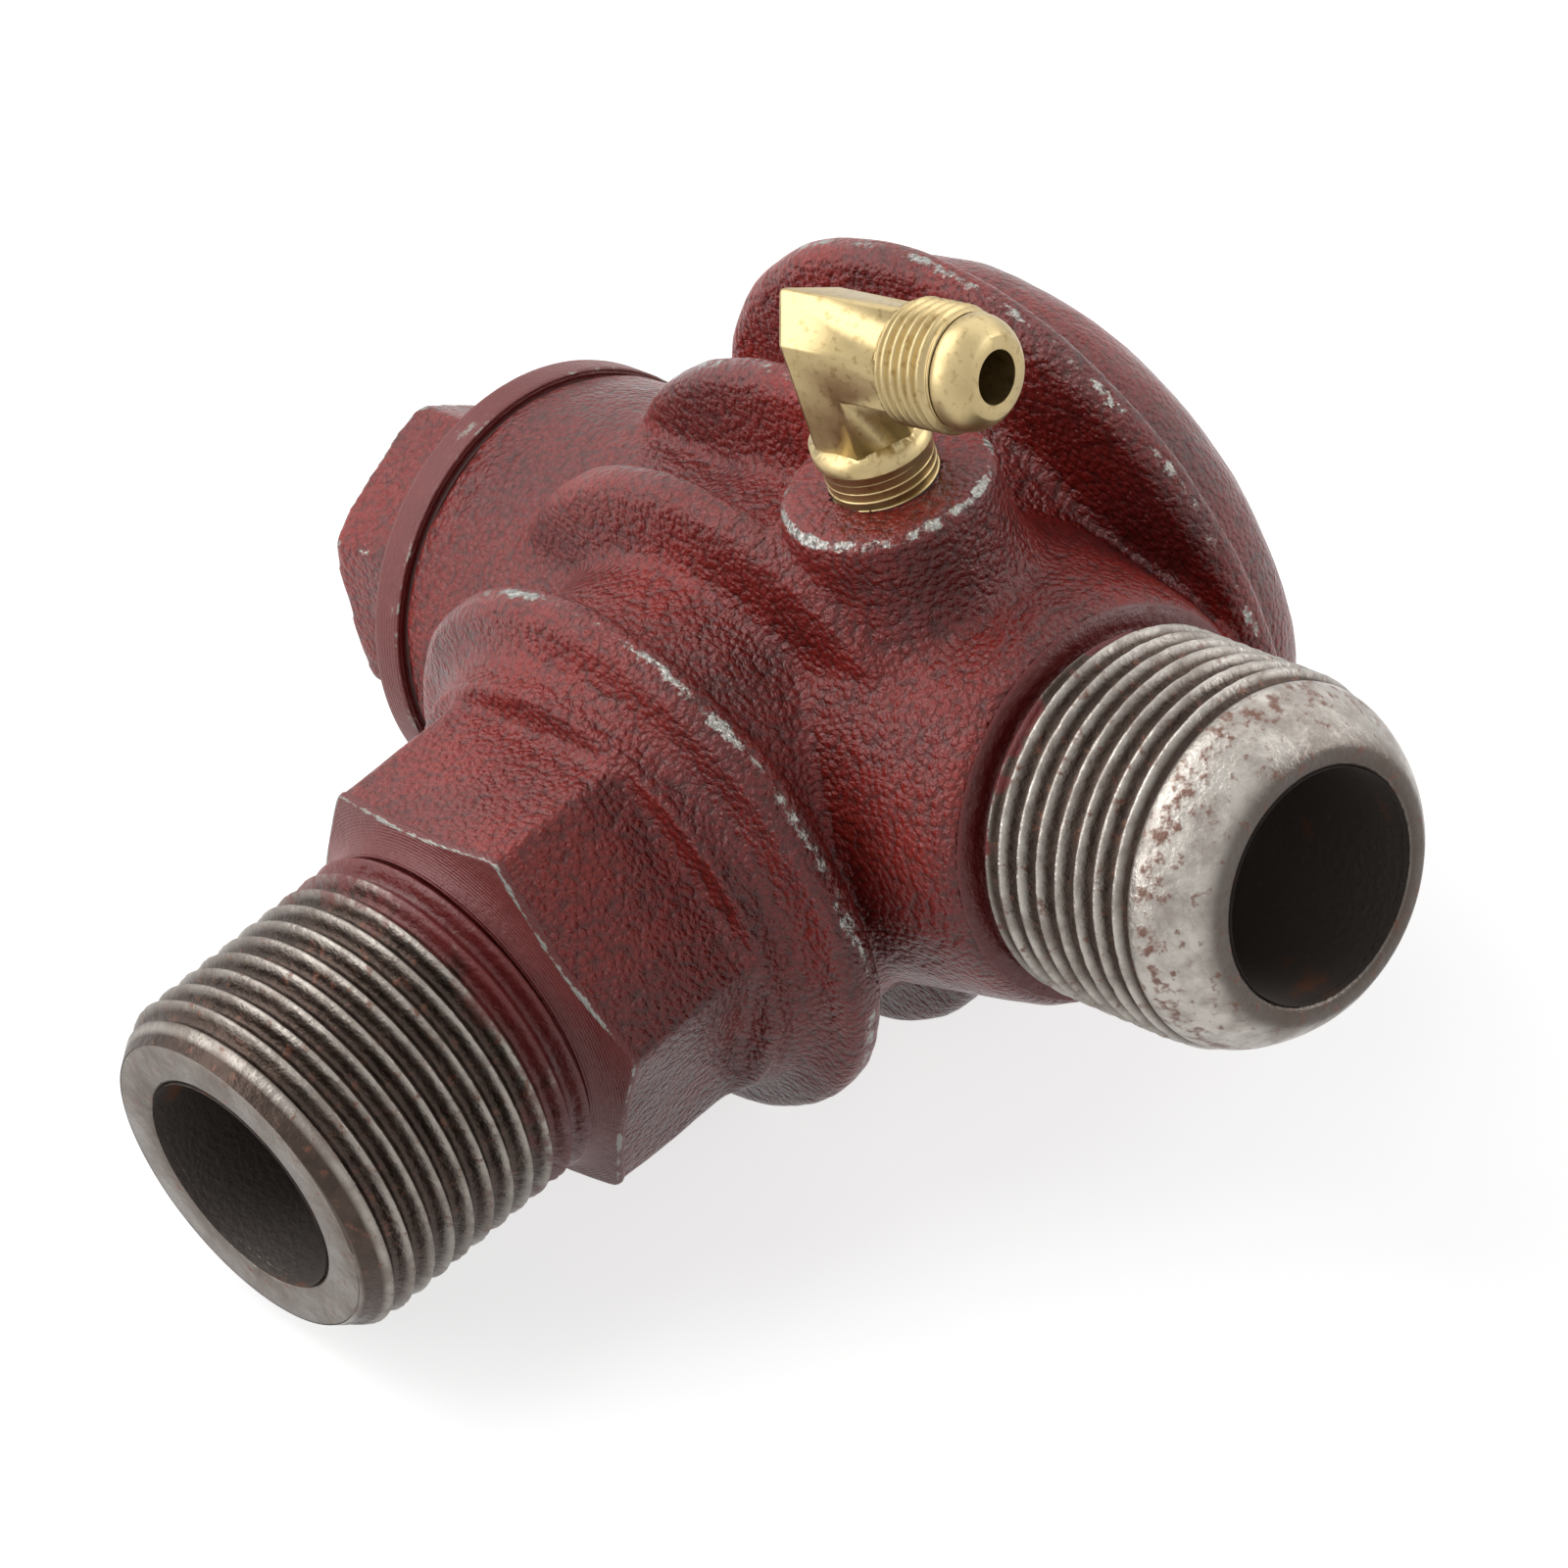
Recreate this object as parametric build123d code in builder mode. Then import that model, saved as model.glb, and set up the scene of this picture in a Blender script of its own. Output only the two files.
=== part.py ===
from build123d import *
import os
from math import cos, pi

os.makedirs("parts", exist_ok=True)

# Finned non-return valve for an air compressor, in millimetres.
# The origin is on the outlet axis, inside the tank thread. The outlet leaves
# along -Y, the inlet along +X, the bonnet cap closes the -X side and the
# unloader boss stands up along +Z. Places on the body are measured from the
# crossing point, where the outlet axis meets the inlet axis.
cross_y = 60.0

# One inch pipe thread of both ends, cut as plain rings at its real pitch
thread_r = 16.6
thread_pitch = 2.309
thread_land = 0.6
thread_depth = 1.3

# Tank spigot on the outlet axis
tank_end_y = -73.1
tank_first_ring_y = -68.8
tank_thread_end_y = -47.7
tank_lead_y = -71.0
tank_lead_r = 16.0
tank_chamfer_r = 14.5
tank_neck_root_r = 17.6
outlet_bore_r = 10.5

# Body hexagon and the rounded collar behind it
hexagon_y = -45.5
hexagon_rear_y = -29.0
hexagon_corner_r = 20.9
hexagon_crown_r = 17.9
hexagon_crown_depth = 1.4
collar_r = 22.5
collar_half = 1.6
valley_r = 21.4
valley_y = -26.0

# Finned drum on the outlet axis
drum_r = 22.5
fin_y = [-24.1, -9.4, 5.6, 21.0]
fin_rim_r = [26.8, 28.8, 30.2, 33.3]
fin_lift = [0.4, 1.2, 1.2, 0.6]
fin_tip_half = 1.9
fin_root_half = 2.9
fin_foot_half = 6.5
fin_foot_blend = 2.8
fin_sink = 0.5
fin_tip_blend = 1.7
dome_y = 22.0
dome_r = 30.2
dome_depth = 16.4
dome_knuckle_r = 10.0
wall = 4.6

# Inlet neck, thread and domed nose on the cross axis
neck_root_x = 19.0
neck_root_r = 21.0
neck_end_x = 34.4
neck_r = 18.3
inlet_first_ring_x = 35.4
inlet_thread_end_x = 51.9
nose_x = 53.0
nose_r = 16.0
nose_mid_x = 57.2
nose_mid_r = 14.3
inlet_end_x = 59.6
inlet_rim_r = 12.2
inlet_bore_r = 10.35

# Cap barrel on the cross axis
barrel_face_x = -36.1
barrel_r = 20.35
barrel_edge_blend = 0.3
barrel_root_r = 21.2
barrel_wall = 4.15
barrel_thread_depth = 14.5
chamber_step = 1.0

# Seat in the partition between the inlet and the outlet chamber
partition_x = 10.5
partition_thickness = 4.5
seat_lip = 1.0
seat_bore_r = 8.6
seat_land = 1.6

# Unloader boss
boss_x = 17.5
boss_top_z = 29.6
boss_r = 9.7
boss_rim_blend = 0.9
boss_flare_z = 23.5
boss_foot_z = 14.0
boss_foot_r = 15.0
tapped_depth = 9.0
bleed_hole_r = 2.0

# Unloader elbow
pipe_thread_r = 4.9
pipe_clearance = 0.05
pipe_thread_length = 10.6
elbow_axis_z = 43.4
elbow_turn = 8.0
bar_corner_r = 4.95
bar_drop = 8.4
bar_run = 7.5
elbow_collar_r = 5.3
elbow_collar_length = 2.2
flare_thread_r = 5.5
flare_thread_end = 13.8
flare_shoulder_r = 5.0
flare_nose_r = 4.7
flare_nose_u = 15.8
flare_tip_r = 3.5
flare_tip_u = 17.1
elbow_bore_r = 2.35

# Bonnet cap and gasket
gasket_thickness = 0.5
gasket_width = 3.5
cap_thread_clearance = 0.1
cap_flange_overhang = 0.35
cap_flange_thickness = 3.7
cap_flange_blend = 0.5
cap_hexagon_corner_r = 15.0
cap_hexagon_length = 13.9
cap_hexagon_turn = 24.7
cap_crown_r = 13.4
cap_crown_depth = 1.3
guide_r = 6.4
guide_clearance = 0.06
guide_spare_depth = 3.0

# Poppet, seal, retaining washer and screw
valve_travel = 7.0
stop_gap = 0.3
seat_gap = 0.05
seal_r = 11.6
seal_thickness = 2.5
seal_clearance = 0.15
poppet_rim = 1.2
poppet_rim_height = 1.4
poppet_thickness = 3.4
stem_r = 4.0
stem_length = 34.0
washer_r = 6.5
washer_thickness = 1.0
screw_r = 2.0
screw_clearance = 0.1
screw_length = 14.0
screw_head_r = 3.6
screw_head_height = 2.2
screw_head_bevel = 0.8
screw_slot_width = 0.9
screw_slot_depth = 1.0

# Return spring
wire_r = 0.6
spring_clearance = 0.7
spring_turns = 6.0

# Sizes and places that follow from the ones above
tank_rings = 1 + int((tank_thread_end_y - tank_first_ring_y) / thread_pitch)
tank_neck_y = tank_first_ring_y + (tank_rings - 0.5) * thread_pitch
tank_neck_r = thread_r - thread_depth / 2
inlet_rings = 1 + int((inlet_thread_end_x - inlet_first_ring_x) / thread_pitch)
inlet_root_x = inlet_first_ring_x + (inlet_rings - 0.5) * thread_pitch
barrel_thread_r = barrel_r - barrel_wall
chamber_r = barrel_thread_r - chamber_step
cap_flange_r = barrel_r + cap_flange_overhang
gasket_r = barrel_thread_r + cap_thread_clearance
seat_x = partition_x - seat_lip
partition_end_x = partition_x + partition_thickness
gasket_x = barrel_face_x - gasket_thickness
flange_x = gasket_x - cap_flange_thickness
cap_end_x = flange_x - cap_hexagon_length
shank_x = barrel_face_x + barrel_thread_depth
seal_face_x = seat_x - seat_gap
seal_back_x = seal_face_x - seal_thickness
poppet_back_x = seal_back_x - poppet_thickness
poppet_r = seal_r + seal_clearance + poppet_rim
guide_end_x = poppet_back_x - valve_travel - stop_gap
stem_end_x = poppet_back_x - stem_length
head_x = seal_face_x + washer_thickness
head_end_x = head_x + screw_head_height

# Planes and axes through the crossing point
level = Plane(origin=(0, cross_y, 0), x_dir=(1, 0, 0), z_dir=(0, 0, 1))
upright = Plane(origin=(0, cross_y, 0), x_dir=(1, 0, 0), z_dir=(0, -1, 0))
end_on = Plane(origin=(0, cross_y, 0), x_dir=(0, 1, 0), z_dir=(1, 0, 0))
cross_axis = Axis((0, cross_y, 0), (1, 0, 0))
boss_axis = Axis((boss_x, cross_y, 0), (0, 0, 1))


def dome_arcs(base_r, depth, knuckle_r):
    """Half of a dished end: a knuckle arc at the base runs into a flatter crown arc."""
    offset = base_r - knuckle_r
    crown_r = (offset**2 + depth**2 - knuckle_r**2) / (2 * (depth - knuckle_r))
    share = knuckle_r / (crown_r - knuckle_r)
    join = (offset + offset * share, dome_y + (crown_r - depth) * share)
    knuckle = TangentArc((base_r, dome_y), join, tangent=(0, 1))
    TangentArc(join, (0, dome_y + depth), tangent=knuckle % 1)


def thread_rings(first, count):
    """Places along the axis and radii of a row of thread rings, each with its land and root."""
    points = []
    for ring in range(count):
        crest = first + ring * thread_pitch
        points.append((crest - thread_pitch / 2, thread_r - thread_depth))
        points.append((crest - thread_land / 2, thread_r))
        points.append((crest + thread_land / 2, thread_r))
    return points


# Valve body: one iron casting with machined threads, bores and seat.
# The casting core leaves the drum hollow up to the partition.
with BuildPart() as chamber_core:
    with BuildSketch(level):
        with BuildLine():
            Polyline(
                (0, hexagon_rear_y),
                (outlet_bore_r, hexagon_rear_y),
                (drum_r - wall, valley_y + wall),
                (drum_r - wall, dome_y),
            )
            dome_arcs(drum_r - wall, dome_depth - wall, dome_knuckle_r - wall)
            Line((0, dome_y + dome_depth - wall), (0, hexagon_rear_y))
        make_face()
    revolve(axis=Axis.Y)
    split(bisect_by=Plane.YZ.offset(partition_x), keep=Keep.BOTTOM)

with BuildPart() as valve_body:
    # Tank spigot with its turned neck, collar, plain drum and rear dome
    with BuildSketch(level):
        with BuildLine():
            Polyline(
                (0, tank_end_y),
                (tank_chamfer_r, tank_end_y),
                (tank_lead_r, tank_lead_y),
                *[(r, y) for y, r in thread_rings(tank_first_ring_y, tank_rings)],
                (tank_neck_r, tank_neck_y),
            )
            TangentArc(
                (tank_neck_r, tank_neck_y),
                (tank_neck_root_r, hexagon_y),
                tangent=(0, 1),
            )
            Polyline(
                (tank_neck_root_r, hexagon_y),
                (tank_neck_root_r, hexagon_rear_y - collar_half),
                (collar_r - collar_half, hexagon_rear_y - collar_half),
            )
            ThreePointArc(
                (collar_r - collar_half, hexagon_rear_y - collar_half),
                (collar_r, hexagon_rear_y),
                (valley_r, hexagon_rear_y + collar_half),
            )
            Polyline(
                (valley_r, hexagon_rear_y + collar_half),
                (valley_r, valley_y),
                (drum_r, fin_y[0]),
                (drum_r, dome_y),
                (dome_r, dome_y),
            )
            dome_arcs(dome_r, dome_depth, dome_knuckle_r)
            Line((0, dome_y + dome_depth), (0, tank_end_y))
        make_face()
    revolve(axis=Axis.Y)

    # Hexagon with its front corners turned off
    with BuildSketch(upright.offset(-hexagon_y)):
        RegularPolygon(radius=hexagon_corner_r, side_count=6)
    extrude(amount=hexagon_y - hexagon_rear_y)
    with BuildSketch(level):
        with BuildLine():
            Polyline(
                (hexagon_crown_r, hexagon_y),
                (hexagon_corner_r + 1, hexagon_y + hexagon_crown_depth),
                (hexagon_corner_r + 1, hexagon_y),
                close=True,
            )
        make_face()
    revolve(axis=Axis.Y, mode=Mode.SUBTRACT)

    # Cooling fins with flared feet and rounded rims, the middle two lifted a little
    for y, rim_r, lift in zip(fin_y, fin_rim_r, fin_lift):
        foot_r = drum_r - lift - fin_sink
        with BuildSketch(level.offset(lift)) as fin_section:
            with BuildLine():
                Polyline(
                    (foot_r - wall / 2, y - fin_foot_half),
                    (foot_r, y - fin_foot_half),
                    (foot_r, y - fin_root_half),
                    (rim_r, y - fin_tip_half),
                    (rim_r, y + fin_tip_half),
                    (foot_r, y + fin_root_half),
                    (foot_r, y + fin_foot_half),
                    (foot_r - wall / 2, y + fin_foot_half),
                    close=True,
                )
            make_face()
            corners = fin_section.vertices().sort_by(Axis.X)
            fillet(corners[-2:], radius=fin_tip_blend)
            feet = fin_section.vertices().filter_by_position(
                Axis.Y, y - fin_root_half - 0.1, y + fin_root_half + 0.1
            ).sort_by(Axis.X)
            fillet(feet[:2], radius=fin_foot_blend)
        revolve(axis=Axis((0, cross_y, lift), (0, 1, 0)))

    # Cap barrel, inlet neck, inlet thread and domed nose
    with BuildSketch(level):
        with BuildLine():
            Polyline(
                (barrel_face_x, 0),
                (barrel_face_x, barrel_r - barrel_edge_blend),
                (barrel_face_x + barrel_edge_blend, barrel_r),
                (0, barrel_root_r),
                (neck_root_x, neck_root_r),
                (neck_end_x, neck_r),
                (neck_end_x, thread_r - thread_depth),
                *thread_rings(inlet_first_ring_x, inlet_rings)[1:],
                (inlet_root_x, thread_r - thread_depth),
                (nose_x, nose_r),
            )
            ThreePointArc(
                (nose_x, nose_r),
                (nose_mid_x, nose_mid_r),
                (inlet_end_x, inlet_rim_r),
            )
            Polyline((inlet_end_x, inlet_rim_r), (inlet_end_x, 0), (barrel_face_x, 0))
        make_face()
    revolve(axis=cross_axis)

    # Unloader boss with a flared foot and a rounded rim
    with BuildSketch(upright):
        with BuildLine():
            Polyline(
                (boss_x, 0),
                (boss_x + neck_root_r / 2, 0),
                (boss_x + boss_foot_r, boss_foot_z),
            )
            ThreePointArc(
                (boss_x + boss_foot_r, boss_foot_z),
                (boss_x + boss_r + 1.6, (boss_foot_z + boss_flare_z) / 2 - 0.6),
                (boss_x + boss_r, boss_flare_z),
            )
            Polyline(
                (boss_x + boss_r, boss_flare_z),
                (boss_x + boss_r, boss_top_z - boss_rim_blend),
                (boss_x + boss_r - boss_rim_blend, boss_top_z),
                (boss_x, boss_top_z),
                (boss_x, 0),
            )
        make_face()
    revolve(axis=boss_axis)

    # Hollow left by the core, outlet bore, chamber and tapped mouth for the cap
    add(chamber_core.part, mode=Mode.SUBTRACT)
    with BuildSketch(upright.offset(-tank_end_y)):
        Circle(outlet_bore_r)
    extrude(amount=tank_end_y, mode=Mode.SUBTRACT)
    with BuildSketch(end_on.offset(partition_x)):
        Circle(chamber_r)
    extrude(amount=barrel_face_x - partition_x, mode=Mode.SUBTRACT)
    with BuildSketch(end_on.offset(barrel_face_x)):
        Circle(barrel_thread_r)
    extrude(amount=barrel_thread_depth, mode=Mode.SUBTRACT)

    # Inlet bore, seat bore and raised seat lip
    with BuildSketch(level):
        with BuildLine():
            Polyline(
                (partition_x, 0),
                (partition_x, seat_bore_r),
                (partition_end_x, seat_bore_r),
                (partition_end_x, inlet_bore_r),
                (inlet_end_x, inlet_bore_r),
                (inlet_end_x, 0),
                close=True,
            )
        make_face()
    revolve(axis=cross_axis, mode=Mode.SUBTRACT)
    with BuildSketch(end_on.offset(seat_x)):
        Circle(seat_bore_r + seat_land)
        Circle(seat_bore_r, mode=Mode.SUBTRACT)
    extrude(amount=seat_lip)

    # Tapped hole in the boss and bleed hole down into the inlet bore
    with BuildSketch(level.offset(boss_top_z)):
        with Locations((boss_x, 0)):
            Circle(pipe_thread_r + pipe_clearance)
    extrude(amount=-tapped_depth, mode=Mode.SUBTRACT)
    with BuildSketch(level.offset(boss_top_z)):
        with Locations((boss_x, 0)):
            Circle(bleed_hole_r)
    extrude(amount=inlet_bore_r / 2 - boss_top_z, mode=Mode.SUBTRACT)
valve_body.part.label = "valve_body"

# Bonnet cap: hexagon head, turned flange, threaded shank and stem guide
with BuildPart() as bonnet_cap:
    with BuildSketch(level) as cap_section:
        with BuildLine():
            Polyline(
                (flange_x, 0),
                (flange_x, cap_flange_r),
                (gasket_x, cap_flange_r),
                (gasket_x, barrel_thread_r - cap_thread_clearance),
                (shank_x, barrel_thread_r - cap_thread_clearance),
                (shank_x, guide_r),
                (guide_end_x, guide_r),
                (guide_end_x, 0),
                close=True,
            )
        make_face()
        fillet(cap_section.vertices().sort_by(Axis.Y)[-2:], radius=cap_flange_blend)
    revolve(axis=cross_axis)
    with BuildSketch(end_on.offset(cap_end_x)):
        RegularPolygon(radius=cap_hexagon_corner_r, side_count=6, rotation=cap_hexagon_turn)
    extrude(amount=cap_hexagon_length)
    with BuildSketch(level):
        with BuildLine():
            Polyline(
                (cap_end_x, cap_crown_r),
                (cap_end_x + cap_crown_depth, cap_hexagon_corner_r + 0.5),
                (cap_end_x, cap_hexagon_corner_r + 0.5),
                close=True,
            )
        make_face()
    revolve(axis=cross_axis, mode=Mode.SUBTRACT)
    with BuildSketch(end_on.offset(guide_end_x)):
        Circle(stem_r + guide_clearance)
    extrude(
        amount=stem_end_x - valve_travel - guide_spare_depth - guide_end_x, mode=Mode.SUBTRACT
    )
bonnet_cap.part.label = "bonnet_cap"

# Cap gasket: thin ring between the flange and the face of the barrel
with BuildPart() as cap_gasket:
    with BuildSketch(end_on.offset(gasket_x)):
        Circle(gasket_r + gasket_width)
        Circle(gasket_r, mode=Mode.SUBTRACT)
    extrude(amount=gasket_thickness)
cap_gasket.part.label = "cap_gasket"

# Poppet: turned disc with a cup for the seal and a long guide stem
with BuildPart() as poppet:
    with BuildSketch(level):
        with BuildLine():
            Polyline(
                (stem_end_x, 0),
                (stem_end_x, stem_r),
                (poppet_back_x, stem_r),
                (poppet_back_x, poppet_r),
                (seal_back_x + poppet_rim_height, poppet_r),
                (seal_back_x + poppet_rim_height, poppet_r - poppet_rim),
                (seal_back_x, poppet_r - poppet_rim),
                (seal_back_x, screw_r),
                (seal_back_x - screw_length, screw_r),
                (seal_back_x - screw_length, 0),
                close=True,
            )
        make_face()
    revolve(axis=cross_axis)
poppet.part.label = "poppet"

# Seal disc: soft ring that closes on the seat lip
with BuildPart() as seal_disc:
    with BuildSketch(end_on.offset(seal_back_x)):
        Circle(seal_r)
        Circle(screw_r + screw_clearance, mode=Mode.SUBTRACT)
    extrude(amount=seal_thickness)
seal_disc.part.label = "seal_disc"

# Retaining washer: holds the seal in the cup
with BuildPart() as retaining_washer:
    with BuildSketch(end_on.offset(seal_face_x)):
        Circle(washer_r)
        Circle(screw_r + screw_clearance, mode=Mode.SUBTRACT)
    extrude(amount=washer_thickness)
retaining_washer.part.label = "retaining_washer"

# Retaining screw: slotted head, screwed into the stem
with BuildPart() as retaining_screw:
    with BuildSketch(level):
        with BuildLine():
            Polyline(
                (seal_back_x - screw_length, 0),
                (seal_back_x - screw_length, screw_r),
                (head_x, screw_r),
                (head_x, screw_head_r),
                (head_end_x - screw_head_bevel, screw_head_r),
                (head_end_x, screw_head_r - screw_head_bevel),
                (head_end_x, 0),
                close=True,
            )
        make_face()
    revolve(axis=cross_axis)
    with BuildSketch(end_on.offset(head_end_x)):
        Rectangle(2 * screw_head_r + 1, screw_slot_width)
    extrude(amount=-screw_slot_depth, mode=Mode.SUBTRACT)
retaining_screw.part.label = "retaining_screw"

# Return spring: round wire coiled between the cap shank and the back of the poppet
spring_r = guide_r + spring_clearance + wire_r
spring_length = poppet_back_x - shank_x - 2 * wire_r
with BuildPart() as return_spring:
    with BuildLine() as coil:
        Helix(
            pitch=spring_length / spring_turns,
            height=spring_length,
            radius=spring_r,
            center=(shank_x + wire_r, cross_y, 0),
            direction=(1, 0, 0),
        )
    with BuildSketch(Plane(origin=coil.line @ 0, z_dir=coil.line % 0)):
        RegularPolygon(radius=wire_r, side_count=8)
    sweep(path=coil.line, is_frenet=True)
return_spring.part.label = "return_spring"

# Unloader elbow: brass hexagon bar mitred at the corner, with turned ends.
# In the elbow's side view the arm runs to the right and the stem runs down.
elbow_level = Plane(
    origin=(boss_x, cross_y, elbow_axis_z), x_dir=(1, 0, 0), z_dir=(0, 0, 1)
).rotated((0, 0, elbow_turn))
elbow_side = Plane(
    origin=elbow_level.origin, x_dir=elbow_level.x_dir, z_dir=-elbow_level.y_dir
)
elbow_end = Plane(
    origin=elbow_level.origin, x_dir=elbow_level.y_dir, z_dir=elbow_level.x_dir
)
bar_half_flat = bar_corner_r * cos(pi / 6)
collar_drop = bar_drop + elbow_collar_length
stem_drop = collar_drop + pipe_thread_length
with BuildPart() as unloader_elbow:
    with BuildLine(elbow_side) as bar_path:
        Polyline((0, -bar_drop), (0, 0), (bar_run, 0))
    with BuildSketch(elbow_level.offset(-bar_drop)):
        RegularPolygon(radius=bar_corner_r, side_count=6)
    sweep(path=bar_path.wires()[0], transition=Transition.RIGHT)

    # Collar and pipe thread that go down into the boss
    with BuildSketch(elbow_side):
        with BuildLine():
            Polyline(
                (0, bar_half_flat - bar_drop),
                (bar_half_flat, -bar_drop),
                (elbow_collar_r, -bar_drop - 0.4),
                (elbow_collar_r, -collar_drop + 0.4),
                (pipe_thread_r, -collar_drop),
                (pipe_thread_r, -stem_drop),
                (0, -stem_drop),
                close=True,
            )
        make_face()
    revolve(axis=boss_axis)

    # Flare thread and nose
    with BuildSketch(elbow_side):
        with BuildLine():
            Polyline(
                (bar_run - bar_half_flat, 0),
                (bar_run, bar_half_flat),
                (bar_run + 0.8, flare_thread_r),
                (flare_thread_end, flare_thread_r),
                (flare_thread_end + 0.4, flare_shoulder_r),
            )
            ThreePointArc(
                (flare_thread_end + 0.4, flare_shoulder_r),
                (flare_nose_u, flare_nose_r),
                (flare_tip_u, flare_tip_r),
            )
            Polyline((flare_tip_u, flare_tip_r), (flare_tip_u, 0), (bar_run - bar_half_flat, 0))
        make_face()
    revolve(axis=Axis(elbow_level.origin, elbow_level.x_dir))

    # Two drilled bores that meet in the corner
    with BuildSketch(elbow_level.offset(-stem_drop)):
        Circle(elbow_bore_r)
    extrude(amount=stem_drop + elbow_bore_r / 2, mode=Mode.SUBTRACT)
    with BuildSketch(elbow_end.offset(flare_tip_u)):
        Circle(elbow_bore_r)
    extrude(amount=-(flare_tip_u + elbow_bore_r / 2), mode=Mode.SUBTRACT)
unloader_elbow.part.label = "unloader_elbow"

export_step(valve_body.part, "parts/valve_body.step")
export_step(bonnet_cap.part, "parts/bonnet_cap.step")
export_step(cap_gasket.part, "parts/cap_gasket.step")
export_step(poppet.part, "parts/poppet.step")
export_step(seal_disc.part, "parts/seal_disc.step")
export_step(retaining_washer.part, "parts/retaining_washer.step")
export_step(retaining_screw.part, "parts/retaining_screw.step")
export_step(return_spring.part, "parts/return_spring.step")
export_step(unloader_elbow.part, "parts/unloader_elbow.step")
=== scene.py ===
import math

import bmesh
import bpy
import numpy as np
from mathutils import Matrix, Vector, noise
from mathutils.bvhtree import BVHTree


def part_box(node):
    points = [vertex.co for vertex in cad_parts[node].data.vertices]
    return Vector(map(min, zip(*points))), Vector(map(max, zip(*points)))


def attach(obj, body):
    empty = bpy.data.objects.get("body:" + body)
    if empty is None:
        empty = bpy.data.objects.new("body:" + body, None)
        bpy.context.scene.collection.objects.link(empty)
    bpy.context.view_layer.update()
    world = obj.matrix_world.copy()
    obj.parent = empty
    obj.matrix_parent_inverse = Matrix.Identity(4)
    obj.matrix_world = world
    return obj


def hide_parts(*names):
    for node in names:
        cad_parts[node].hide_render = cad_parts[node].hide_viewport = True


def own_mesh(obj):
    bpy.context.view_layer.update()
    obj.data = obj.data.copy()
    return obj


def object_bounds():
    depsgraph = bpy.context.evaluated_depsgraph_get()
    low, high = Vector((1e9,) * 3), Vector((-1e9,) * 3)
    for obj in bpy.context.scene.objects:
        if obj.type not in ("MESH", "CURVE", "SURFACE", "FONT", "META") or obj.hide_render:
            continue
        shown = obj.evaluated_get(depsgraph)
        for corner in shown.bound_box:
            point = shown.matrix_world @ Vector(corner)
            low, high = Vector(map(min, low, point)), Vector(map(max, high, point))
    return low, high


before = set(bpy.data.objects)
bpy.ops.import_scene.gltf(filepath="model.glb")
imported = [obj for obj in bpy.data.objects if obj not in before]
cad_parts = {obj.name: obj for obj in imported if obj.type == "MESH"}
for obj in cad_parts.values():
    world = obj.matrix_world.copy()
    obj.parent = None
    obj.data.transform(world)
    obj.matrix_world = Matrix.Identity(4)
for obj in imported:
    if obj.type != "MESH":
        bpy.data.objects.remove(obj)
cad_box = [list(corner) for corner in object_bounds()]


# Valve casting: one piece of grey iron poured in sand, with four cooling fins, a domed end,
# a wrench hexagon, the inlet neck, the cap barrel and the unloader boss. It is dipped in
# dark red paint that has worn through to bare iron on the rims.
cross_y = 0.060
hexagon_corner_r = 0.0209
hexagon_flat_r = hexagon_corner_r * math.cos(math.radians(30))
neck_end_x = 0.0344


def from_hex(hex_code):
    """An sRGB hex colour as the linear colour that Blender's sockets take."""
    parts = [int(hex_code[i : i + 2], 16) / 255 for i in (1, 3, 5)]
    return [c / 12.92 if c <= 0.04045 else ((c + 0.055) / 1.055) ** 2.4 for c in parts] + [1.0]


def add(tree, kind, settings=None, feeds=None):
    """Adds a node. Settings are its own options; feeds are values or sockets for its inputs."""
    node = tree.nodes.new(kind)
    for name, value in (settings or {}).items():
        setattr(node, name, value)
    for key, value in (feeds or {}).items():
        if isinstance(value, bpy.types.NodeSocket):
            tree.links.new(value, node.inputs[key])
        else:
            node.inputs[key].default_value = value
    return node


def blank_material(name):
    """A material with an empty node tree, its output node and its Object coordinates."""
    material = bpy.data.materials.new(name)
    material.use_nodes = True
    tree = material.node_tree
    tree.nodes.clear()
    output = add(tree, "ShaderNodeOutputMaterial")
    place = add(tree, "ShaderNodeTexCoord").outputs["Object"]
    return material, tree, output, place


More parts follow.
